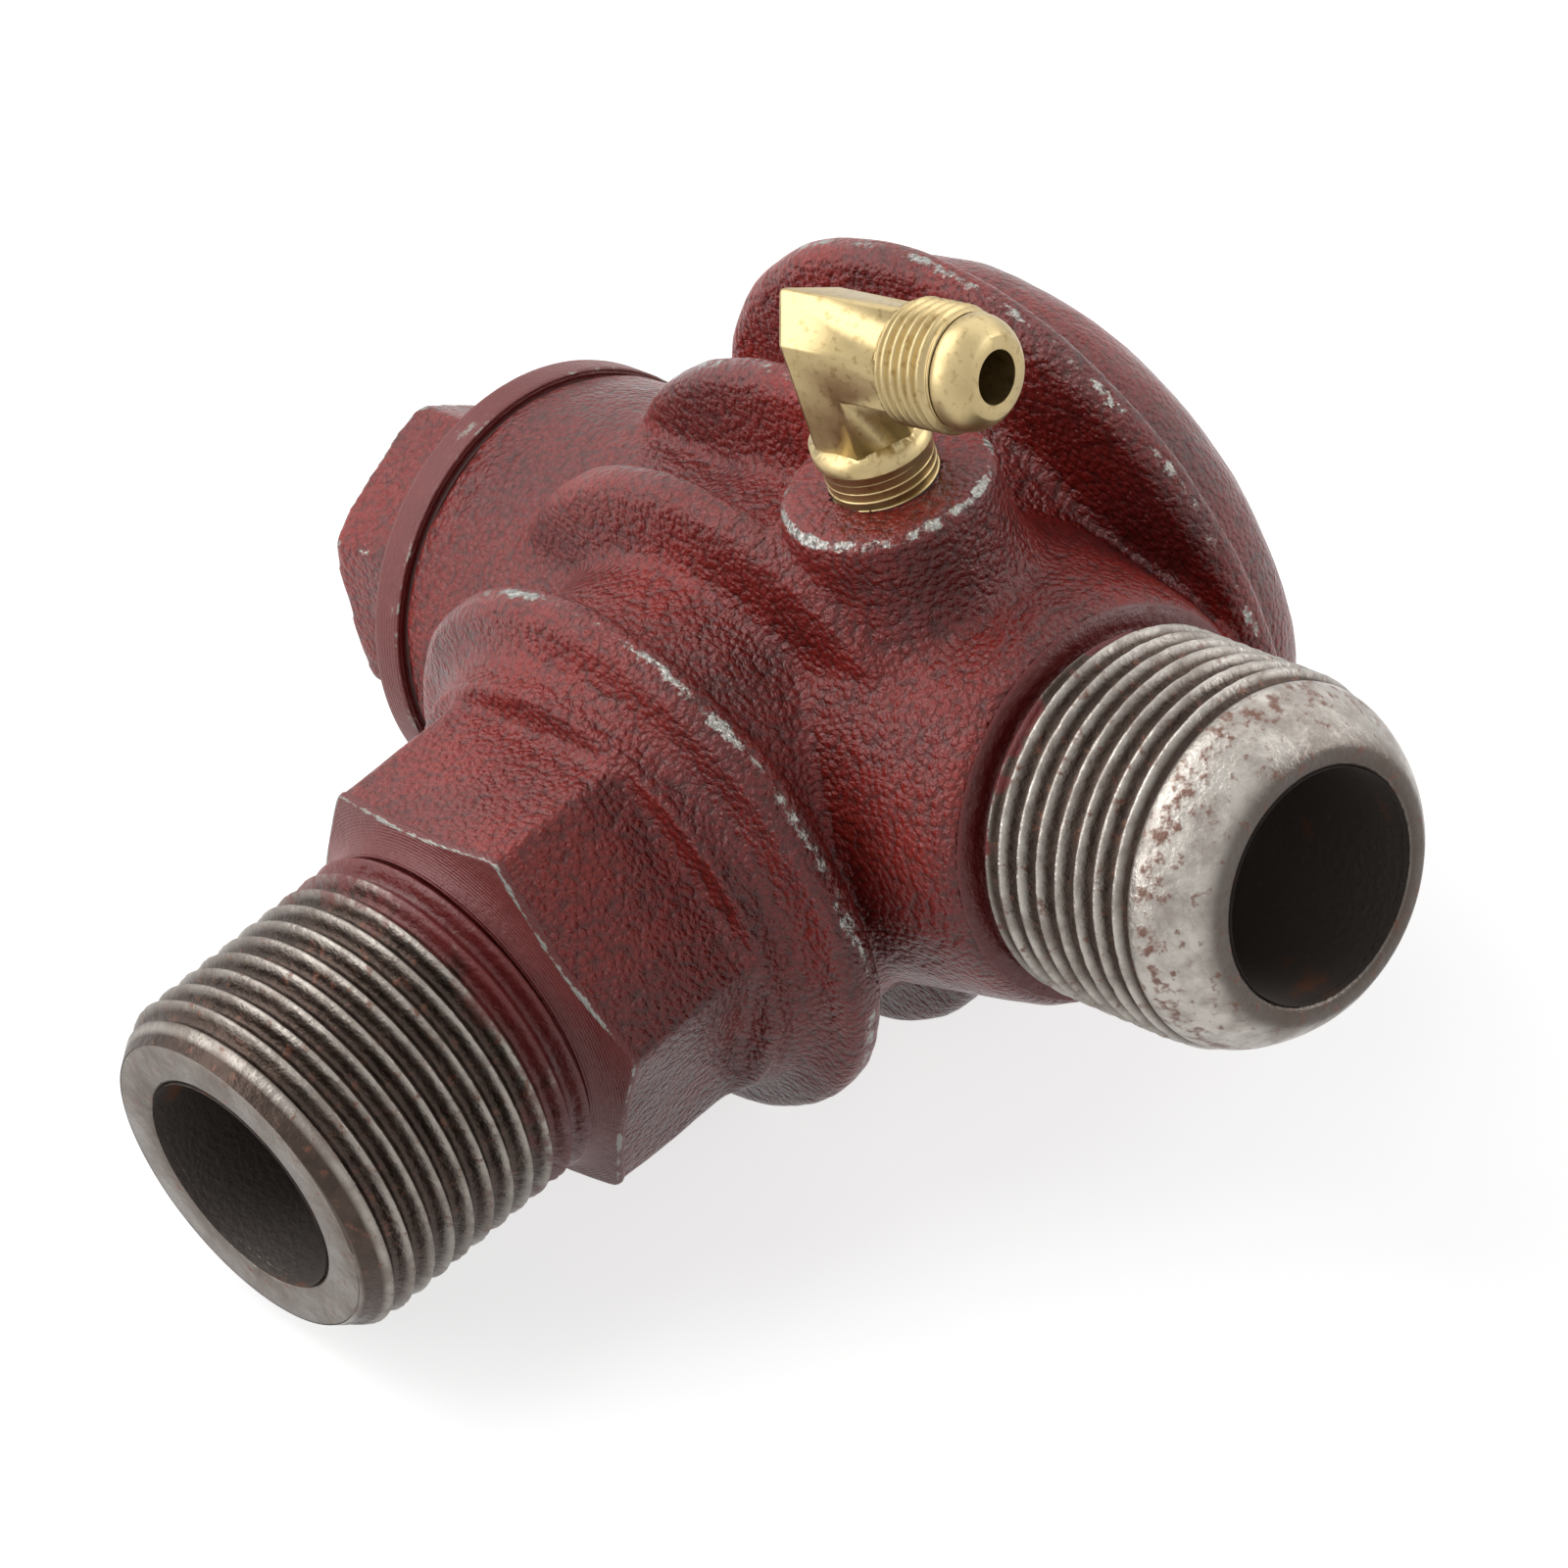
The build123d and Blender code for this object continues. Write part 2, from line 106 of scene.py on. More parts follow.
def cast_paint():
    """Oil paint on a sand casting: the sand grain pebbles the skin, the paint on it is glossy,
    the pits are darkened with painted shade, and knocked rims show bright grey iron. Scales count cells
    to the metre: drifts of paint 14 mm, rubs 4 mm, lumps 2 mm and grit 0.4 mm. The grain is
    drawn at 0.7 mm, coarser than the real 0.3 mm, so that it shows."""
    material, tree, output, place = blank_material("painted_sand_casting")
    patches = add(tree, "ShaderNodeTexNoise", None, {"Vector": place, "Scale": 70.0, "Detail": 4.0})
    lumps = add(tree, "ShaderNodeTexNoise", None, {"Vector": place, "Scale": 520.0, "Detail": 3.0})
    grit = add(
        tree, "ShaderNodeTexNoise", None,
        {"Vector": place, "Scale": 2700.0, "Detail": 2.0, "Roughness": 0.6},
    )
    warp = add(
        tree, "ShaderNodeVectorMath", {"operation": "MULTIPLY_ADD"},
        {0: lumps.outputs["Color"], 1: (0.0004, 0.0004, 0.0004), 2: place},
    )
    sand = add(
        tree, "ShaderNodeTexVoronoi", None,
        {"Vector": warp.outputs[0], "Scale": 1450.0},
    )
    red = add(
        tree, "ShaderNodeMix", {"data_type": "RGBA"},
        {
            0: add(
                tree, "ShaderNodeMapRange", None,
                {"Value": patches.outputs["Fac"], "From Min": 0.36, "From Max": 0.66},
            ).outputs[0],
            6: from_hex("#701d19"),
            7: from_hex("#932820"),
        },
    )
    # Painted shade: the sand pits are darkened towards #341512 where the Voronoi distance is large,
    # standing in for the shade that falls in them.
    painted_pit_shade = add(
        tree, "ShaderNodeMix", {"data_type": "RGBA"},
        {
            0: add(
                tree, "ShaderNodeMapRange", None,
                {"Value": sand.outputs["Distance"], "From Min": 0.4, "From Max": 0.85, "To Max": 0.6},
            ).outputs[0],
            6: red.outputs[2],
            7: from_hex("#341512"),
        },
    )
    worn = add(tree, "ShaderNodeAttribute", {"attribute_name": "wear"})
    rub = add(
        tree, "ShaderNodeTexNoise", None,
        {"Vector": place, "Scale": 260.0, "Detail": 6.0, "Roughness": 0.78},
    )
    reach = add(
        tree, "ShaderNodeMath", {"operation": "MULTIPLY_ADD"},
        {0: rub.outputs["Fac"], 1: 1.7, 2: worn.outputs["Fac"]},
    )
    bare = add(
        tree, "ShaderNodeMapRange", None,
        {"Value": reach.outputs[0], "From Min": 1.36, "From Max": 1.46},
    )
    iron = add(
        tree, "ShaderNodeMix", {"data_type": "RGBA"},
        {0: grit.outputs["Fac"], 6: from_hex("#5f5d58"), 7: from_hex("#bfbdb7")},
    )
    skin = add(
        tree, "ShaderNodeMix", {"data_type": "RGBA"},
        {0: bare.outputs[0], 6: painted_pit_shade.outputs[2], 7: iron.outputs[2]},
    )
    gloss = add(
        tree, "ShaderNodeMapRange", None,
        {"Value": patches.outputs["Fac"], "From Min": 0.3, "From Max": 0.7, "To Min": 0.2, "To Max": 0.34},
    )
    metal = add(
        tree, "ShaderNodeMath", {"operation": "MULTIPLY"}, {0: bare.outputs[0], 1: 0.85}
    )
    rolling = add(
        tree, "ShaderNodeBump", None,
        {"Height": lumps.outputs["Fac"], "Strength": 0.5, "Distance": 0.0004},
    )
    pebbled = add(
        tree, "ShaderNodeBump", {"invert": True},
        {
            "Height": sand.outputs["Distance"],
            "Strength": 1.0,
            "Distance": 0.00024,
            "Normal": rolling.outputs[0],
        },
    )
    fine = add(
        tree, "ShaderNodeBump", None,
        {
            "Height": grit.outputs["Fac"],
            "Strength": 1.0,
            "Distance": 0.00024,
            "Normal": pebbled.outputs[0],
        },
    )
    surface = add(
        tree, "ShaderNodeBsdfPrincipled", None,
        {
            "Base Color": skin.outputs[2],
            "IOR": 1.45,
            "Roughness": gloss.outputs[0],
            "Metallic": metal.outputs[0],
            "Normal": fine.outputs[0],
        },
    )
    tree.links.new(surface.outputs[0], output.inputs["Surface"])
    return material


def neighbour_mean(points, pairs, counts):
    """Each point's mean neighbour, worked out along the edges."""
    total = np.empty_like(points)
    for k in range(3):
        total[:, k] = np.bincount(pairs[:, 0], points[pairs[:, 1], k], len(points))
        total[:, k] += np.bincount(pairs[:, 1], points[pairs[:, 0], k], len(points))
    return total / counts[:, None]


def cast_skin(name, solid, plugs, voxel, blend_rounds):
    """A solid remeshed as it leaves the sand: hollows closed by plugs, inner corners filled
    with a blend, outer corners kept, and how proud each rim stands kept as its wear. A plug
    is its place, radius and length."""
    wear_rounds = 14
    smoothing = 0.6
    fully_worn = 0.0007
    shape = bmesh.new()
    shape.from_mesh(solid.data)
    bmesh.ops.remove_doubles(shape, verts=shape.verts, dist=1e-6)
    for place, radius, depth in plugs:
        bmesh.ops.create_cone(
            shape, cap_ends=True, segments=48, radius1=radius, radius2=radius, depth=depth,
            matrix=place,
        )
    mesh = bpy.data.meshes.new(name)
    shape.to_mesh(mesh)
    shape.free()
    piece = bpy.data.objects.new(name, mesh)
    bpy.context.scene.collection.objects.link(piece)
    remesh = piece.modifiers.new("remesh", "REMESH")
    remesh.mode = "VOXEL"
    remesh.voxel_size = voxel
    fine = bpy.data.meshes.new_from_object(
        piece.evaluated_get(bpy.context.evaluated_depsgraph_get())
    )
    piece.modifiers.clear()
    piece.data = fine
    points = np.empty(len(fine.vertices) * 3)
    fine.vertices.foreach_get("co", points)
    points = points.reshape(-1, 3)
    pairs = np.empty(len(fine.edges) * 2, int)
    fine.edges.foreach_get("vertices", pairs)
    pairs = pairs.reshape(-1, 2)
    counts = np.bincount(pairs.ravel(), minlength=len(points)).astype(float)
    normals = np.empty(len(points) * 3)
    fine.vertices.foreach_get("normal", normals)
    normals = normals.reshape(-1, 3)
    # Points that hang together take the lowest number among them, and the number that most
    # points share is that of the outer skin.
    shell = np.arange(len(points))
    while True:
        least = shell.copy()
        np.minimum.at(least, pairs[:, 0], shell[pairs[:, 1]])
        np.minimum.at(least, pairs[:, 1], shell[pairs[:, 0]])
        least = least[least[least]]
        if (least == shell).all():
            break
        shell = least
    outside = shell == np.bincount(shell).argmax()
    smooth = points.copy()
    for rounds in range(wear_rounds):
        smooth += smoothing * (neighbour_mean(smooth, pairs, counts) - smooth)
        if rounds + 1 == blend_rounds:
            rise = ((smooth - points) * normals).sum(axis=1)
    proud = ((points - smooth) * normals).sum(axis=1)
    points += normals * np.clip(rise, 0, None)[:, None]
    # Two light rounds take out the steps that the voxels left.
    for _ in range(2):
        points += 0.5 * (neighbour_mean(points, pairs, counts) - points)
    wear = np.clip(proud / fully_worn, 0, 1)
    return piece, points, normals, wear, outside


def sand_surface(points, normals):
    """The uneven skin that the sand mould leaves: swells 7 mm long and ripples 2 mm long. It
    is set in by half a swell, and kept inside the CAD model's box."""
    swell_height = 0.00016
    ripple_height = 0.00007
    set_in = 0.00008
    swell = np.empty(len(points))
    for i, (x, y, z) in enumerate(points):
        place = Vector((x, y, z))
        swell[i] = swell_height * noise.noise(place * 140)
        swell[i] += ripple_height * noise.noise(place * 430)
    points = points + normals * (swell - set_in)[:, None]
    return np.clip(points, cad_box[0], cad_box[1])


def keep_faces(piece, points, wear, kept):
    """Rebuilds a piece from the faces whose points are all kept, with its wear attribute."""
    corners = np.empty(len(piece.data.loops), int)
    piece.data.loops.foreach_get("vertex_index", corners)
    faces = corners.reshape(-1, 4)
    faces = faces[kept[faces].all(axis=1)]
    used, faces = np.unique(faces, return_inverse=True)
    mesh = bpy.data.meshes.new(piece.name)
    mesh.from_pydata(points[used].tolist(), [], faces.reshape(-1, 4).tolist())
    mesh.attributes.new("wear", "FLOAT", "POINT").data.foreach_set("value", wear[used])
    mesh.polygons.foreach_set("use_smooth", [True] * len(mesh.polygons))
    piece.data = mesh


def face_y(radius):
    """Where the turned face in front of the hexagon stands: flared next to the thread, nearly
    flat, then a cone that takes off the hexagon's corners."""
    radii = [0.0160, 0.0166, 0.0173, 0.0181, 0.0209]
    places = [-0.0475, -0.0465, -0.0459, -0.0455, -0.0448]
    return np.interp(radius, radii, places)


def hexagon_edge(angle):
    """The radius of the hexagon's outline at this angle, with its corners a little rounded."""
    sharpness = 60
    flats = sum(
        np.clip(np.cos(angle - math.radians(30 + 60 * k)), 0, None) ** sharpness for k in range(6)
    )
    return hexagon_flat_r / flats ** (1 / sharpness)


paint = cast_paint()
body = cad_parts["valve_body"]
boss_x = 0.0175
about_x = Matrix.Rotation(math.radians(90), 4, "Y")
about_y = Matrix.Rotation(math.radians(90), 4, "X")
cap_plug = (Matrix.Translation((-0.0330, cross_y, 0)) @ about_x, 0.0180, 0.0062)
boss_plug = (Matrix.Translation((boss_x, cross_y, 0.0240)), 0.0060, 0.0112)
tank_plug = (about_y, 0.0120, 0.0200)
inlet_plug = (Matrix.Translation((0.0450, cross_y, 0)) @ about_x, 0.0120, 0.0200)
casting, points, normals, wear, outside = cast_skin(
    "valve_casting", body, [cap_plug, boss_plug, tank_plug, inlet_plug],
    voxel=0.00053, blend_rounds=3,
)

# The voxels blur the hexagon, so its points go back to its outline, less so near its back.
hexagon_back = -0.0315
blur = 0.0013
ease = 0.0015
local = points - [0, cross_y, 0]
turn = np.arctan2(local[:, 2], local[:, 0])
reach = np.hypot(local[:, 0], local[:, 2])
hexagon_r = hexagon_edge(turn)
front_y = np.maximum(face_y(reach), face_y(hexagon_flat_r))
on_hexagon = (np.abs(reach - hexagon_r) < blur) & (local[:, 1] < hexagon_back)
pull = np.where(on_hexagon, np.clip((hexagon_back - local[:, 1]) / ease, 0, 1), 0)
scale = 1 + pull * (hexagon_r / np.maximum(reach, 1e-6) - 1)
points[:, 0] *= scale
points[:, 2] *= scale

# Most wear is on the crests of the fins and on the rim of the boss, and other rims have less.
# It is full near a crest and gone at one and a half of its widths. Each fin gives its place
# along the drum, the radius of its crest, how far its middle is raised, and its wear.
crest_width = 0.0007
along_share = 0.8
other_wear = 0.4096
boss_wear = 0.58
wear = wear * other_wear
for fin_y, crest_r, lift, most in (
    (-0.0241, 0.0268, 0.0004, 0.512), (-0.0094, 0.0288, 0.0012, 0.384),
    (0.0056, 0.0302, 0.0012, 0.48), (0.0210, 0.0333, 0.0006, 0.50),
):
    off_crest = np.hypot(
        np.hypot(local[:, 0], local[:, 2] - lift) - crest_r, along_share * (local[:, 1] - fin_y)
    )
    wear = np.maximum(wear, most * np.clip(1.5 - off_crest / crest_width, 0, 1))
boss_rim_r = 0.0093
boss_rim_z = 0.0292
boss_reach = np.hypot(local[:, 0] - boss_x, local[:, 1])
off_rim = np.hypot(boss_reach - boss_rim_r, local[:, 2] - boss_rim_z)
wear = np.maximum(wear, boss_wear * np.clip(1.6 - off_rim / crest_width, 0, 1))

# The skin ends at the turned face, and is open at the cap mouth, the boss hole and the inlet.
lathe_cut = 0.0003
cap_mouth_x = -0.0352
cap_mouth_r = 0.0166
boss_hole_z = 0.0286
boss_hole_r = 0.0045
neck_end_r = 0.0174
neck_lip = 0.0004
neck_reach = np.hypot(local[:, 1], local[:, 2])
kept = outside & (local[:, 1] > front_y + lathe_cut)
kept &= ~((local[:, 0] < cap_mouth_x) & (neck_reach < cap_mouth_r))
kept &= ~((local[:, 2] > boss_hole_z) & (boss_reach < boss_hole_r))
kept &= ~((local[:, 0] > neck_end_x - neck_lip) & (neck_reach < neck_end_r))

# The neck draws in by 0.7 mm towards the inlet thread.
draw_start = 0.0310
draw_length = 0.0034
draw_depth = 0.0007
drawn_from_r = 0.0165
draw_in = np.clip((local[:, 0] - draw_start) / draw_length, 0, 1) ** 2 * draw_depth
narrowed = 1 - np.where(neck_reach > drawn_from_r, draw_in, 0) / np.maximum(neck_reach, 0.001)
points[:, 1] = cross_y + (points[:, 1] - cross_y) * narrowed
points[:, 2] *= narrowed
skin_tree = BVHTree.FromPolygons(
    [tuple(p) for p in points], [tuple(f.vertices) for f in casting.data.polygons]
)
points = sand_surface(points, normals)
keep_faces(casting, points, wear, kept)
casting.data.materials.append(paint)
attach(casting, "housing")
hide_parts("valve_body")


# Passages: the hollow that the sand core left and the bores machined into it. The iron
# is bare there, dark with oil and rusting where water stood.
def bore_iron():
    """Bored cast iron left bare: dark grey-brown, hardly glossy, with orange rust blooms of
    6 mm and tool grooves, which are drawn at 0.7 mm, coarser than real, so that they show."""
    material, tree, output, place = blank_material("bored_iron")
    stain = add(tree, "ShaderNodeTexNoise", None, {"Vector": place, "Scale": 160.0, "Detail": 5.0})
    rust = add(
        tree, "ShaderNodeMapRange", None,
        {"Value": stain.outputs["Fac"], "From Min": 0.62, "From Max": 0.80},
    )
    colour = add(
        tree, "ShaderNodeMix", {"data_type": "RGBA"},
        {0: rust.outputs[0], 6: from_hex("#6a625e"), 7: from_hex("#9a5a28")},
    )
    metal = add(
        tree, "ShaderNodeMapRange", None, {"Value": rust.outputs[0], "To Min": 0.7, "To Max": 0.0}
    )
    grooves = add(tree, "ShaderNodeTexNoise", None, {"Vector": place, "Scale": 1500.0})
    rough = add(
        tree, "ShaderNodeBump", None,
        {"Height": grooves.outputs["Fac"], "Strength": 0.4, "Distance": 0.0002},
    )
    surface = add(
        tree, "ShaderNodeBsdfPrincipled", None,
        {
            "Base Color": colour.outputs[2],
            "Metallic": metal.outputs[0],
            "Roughness": 0.55,
            "Normal": rough.outputs[0],
        },
    )
    tree.links.new(surface.outputs[0], output.inputs["Surface"])
    return material


bore = bore_iron()
tank_bore_r = 0.0108
tank_bore_y = cross_y - 0.015
inlet_bore_r = 0.0107
inlet_bore_x = 0.010
skin_depth = 0.0012
cut = bmesh.new()
cut.from_mesh(body.data)
bmesh.ops.remove_doubles(cut, verts=cut.verts, dist=1e-6)
outer = []
for face in cut.faces:
    middle = face.calc_center_median()
    off_skin = skin_tree.find_nearest(middle)[3]
    in_tank_bore = math.hypot(middle.x, middle.z) < tank_bore_r and middle.y < tank_bore_y
    in_inlet_bore = math.hypot(middle.y - cross_y, middle.z) < inlet_bore_r and middle.x > inlet_bore_x
    if off_skin < skin_depth and not in_tank_bore and not in_inlet_bore:
        outer.append(face)
bmesh.ops.delete(cut, geom=outer, context="FACES")
passages_mesh = bpy.data.meshes.new("valve_passages")
cut.to_mesh(passages_mesh)
cut.free()
passages = bpy.data.objects.new("valve_passages", passages_mesh)
bpy.context.scene.collection.objects.link(passages)
passages_mesh.polygons.foreach_set("use_smooth", [True] * len(passages_mesh.polygons))
passages_mesh.set_sharp_from_angle(angle=math.radians(35))
passages_mesh.materials.append(bore)
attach(passages, "housing")
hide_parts("valve_body")


# Hexagon face, with the flare next to the tank thread: turned in the lathe after casting, so
# the corners of the hexagon are cut back in a cone. The tool left fine rings, and the paint
# lies thin on them.
def turned_paint(name, axis, seen_bare):
    """The same paint over a turned face: no sand grain, but rubs of 4 mm and the tool's rings,
    which are drawn 0.36 mm apart, coarser than real, so that they show."""
    ring_gap = 0.00036
    material, tree, output, place = blank_material(name)
    offset = add(
        tree, "ShaderNodeVectorMath", {"operation": "SUBTRACT"}, {0: place, 1: (0, cross_y, 0)}
    )
    level = add(
        tree, "ShaderNodeVectorMath", {"operation": "MULTIPLY"},
        {0: offset.outputs[0], 1: [1 - share for share in axis]},
    )
    reach = add(
        tree, "ShaderNodeVectorMath", {"operation": "LENGTH"}, {0: level.outputs[0]}
    )
    along = add(
        tree, "ShaderNodeVectorMath", {"operation": "DOT_PRODUCT"}, {0: offset.outputs[0], 1: axis}
    )
    run = add(
        tree, "ShaderNodeMath", {"operation": "ADD"},
        {0: reach.outputs["Value"], 1: along.outputs["Value"]},
    )
    phase = add(
        tree, "ShaderNodeMath", {"operation": "MULTIPLY"},
        {0: run.outputs[0], 1: 2 * math.pi / ring_gap},
    )
    ring = add(tree, "ShaderNodeMath", {"operation": "SINE"}, {0: phase.outputs[0]})
    worn = add(tree, "ShaderNodeAttribute", {"attribute_name": "wear"})
    rub = add(
        tree, "ShaderNodeTexNoise", None,
        {"Vector": place, "Scale": 260.0, "Detail": 6.0, "Roughness": 0.78},
    )
    reach_sum = add(
        tree, "ShaderNodeMath", {"operation": "MULTIPLY_ADD"},
        {0: rub.outputs["Fac"], 1: 1.5, 2: worn.outputs["Fac"]},
    )
    bare = add(
        tree, "ShaderNodeMapRange", None,
        {"Value": reach_sum.outputs[0], "From Min": seen_bare, "From Max": seen_bare + 0.1},
    )
    red = add(
        tree, "ShaderNodeMix", {"data_type": "RGBA"},
        {0: rub.outputs["Fac"], 6: from_hex("#5c1d1a"), 7: from_hex("#7d2a26")},
    )
    colour = add(
        tree, "ShaderNodeMix", {"data_type": "RGBA"},
        {0: bare.outputs[0], 6: red.outputs[2], 7: from_hex("#8b8983")},
    )
    metal = add(
        tree, "ShaderNodeMath", {"operation": "MULTIPLY"}, {0: bare.outputs[0], 1: 0.8}
    )
    rings = add(
        tree, "ShaderNodeBump", None,
        {"Height": ring.outputs[0], "Strength": 0.35, "Distance": 0.00006},
    )
    runs = add(
        tree, "ShaderNodeBump", None,
        {
            "Height": rub.outputs["Fac"],
            "Strength": 0.6,
            "Distance": 0.0006,
            "Normal": rings.outputs[0],
        },
    )
    surface = add(
        tree, "ShaderNodeBsdfPrincipled", None,
        {
            "Base Color": colour.outputs[2],
            "Metallic": metal.outputs[0],
            "Roughness": 0.38,
            "Normal": runs.outputs[0],
        },
    )
    tree.links.new(surface.outputs[0], output.inputs["Surface"])
    return material


def ring_mesh(name, rows, material, mark, marks):
    """A skin of rings. Each row is a list of points and carries its value of the mark."""
    count = len(rows[0])
    vertices = [p for row in rows for p in row]
    faces = [
        (
            a * count + i,
            a * count + (i + 1) % count,
            (a + 1) * count + (i + 1) % count,
            (a + 1) * count + i,
        )
        for a in range(len(rows) - 1)
        for i in range(count)
    ]
    mesh = bpy.data.meshes.new(name)
    mesh.from_pydata(vertices, [], faces)
    values = [value for value in marks for _ in range(count)]
    mesh.attributes.new(mark, "FLOAT", "POINT").data.foreach_set("value", values)
    mesh.polygons.foreach_set("use_smooth", [True] * len(mesh.polygons))
    mesh.materials.append(material)
    piece = bpy.data.objects.new(name, mesh)
    bpy.context.scene.collection.objects.link(piece)
    return piece


face_paint = turned_paint("painted_turned_face", (0, 1, 0), 1.24)
face_inner_r = 0.0160
edge_round = 0.0003
paint_depth = 0.00003
steps = 360
angles = [2 * math.pi * i / steps for i in range(steps)]
edges = [hexagon_edge(a) for a in angles]

# Ten rings lie at shares of the way from the flare to the outline. Five more turn over the
# edge: each gives how far it is set in and how far it drops.
rows = []
for share in (-0.1, 0.0, 0.06, 0.12, 0.2, 0.3, 0.45, 0.6, 0.8, 0.92):
    row = []
    for a, edge in zip(angles, edges):
        radius = face_inner_r + (edge - edge_round - face_inner_r) * share
        y = cross_y + face_y(radius) - paint_depth
        row.append((radius * math.cos(a), y, radius * math.sin(a)))
    rows.append(row)
for inset, drop in (
    (edge_round, 0.0), (0.0001, 0.00008), (0.0, 0.0003), (-0.00004, 0.0006), (0.0001, 0.0009),
):
    row = []
    for a, edge in zip(angles, edges):
        radius = edge - inset
        y = face_y(edge - edge_round) - paint_depth + drop
        row.append((radius * math.cos(a), cross_y + y, radius * math.sin(a)))
    rows.append(row)
rows = [row[::-1] for row in rows]
hexagon_face = ring_mesh(
    "hexagon_face", rows, face_paint, "wear", [0.0] * 9 + [0.1, 0.45, 0.6, 0.45, 0.2, 0.0]
)
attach(hexagon_face, "housing")
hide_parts("valve_body")


# Tank and inlet threads: one inch pipe threads cut on the iron, eleven turns to the inch.
# The tank thread runs out under the hexagon; the inlet thread ends in the domed nose that
# the union nut pulls against. Both are bare, with red overspray next to the paint.
def finish_tree(tree, shape, given, output):
    """The end of a tree: its shape in its place, smooth, made real and with its material."""
    placed = add(
        tree, "GeometryNodeTransform", None,
        {"Geometry": shape, "Translation": given["Place"], "Rotation": given["Turn"]},
    )
    shaded = add(tree, "GeometryNodeSetShadeSmooth", None, {"Geometry": placed.outputs[0]})
    real = add(tree, "GeometryNodeRealizeInstances", None, {"Geometry": shaded.outputs[0]})
    finished = add(
        tree, "GeometryNodeSetMaterial", None,
        {"Geometry": real.outputs[0], "Material": given["Finish"]},
    )
    tree.links.new(finished.outputs[0], output.inputs[0])


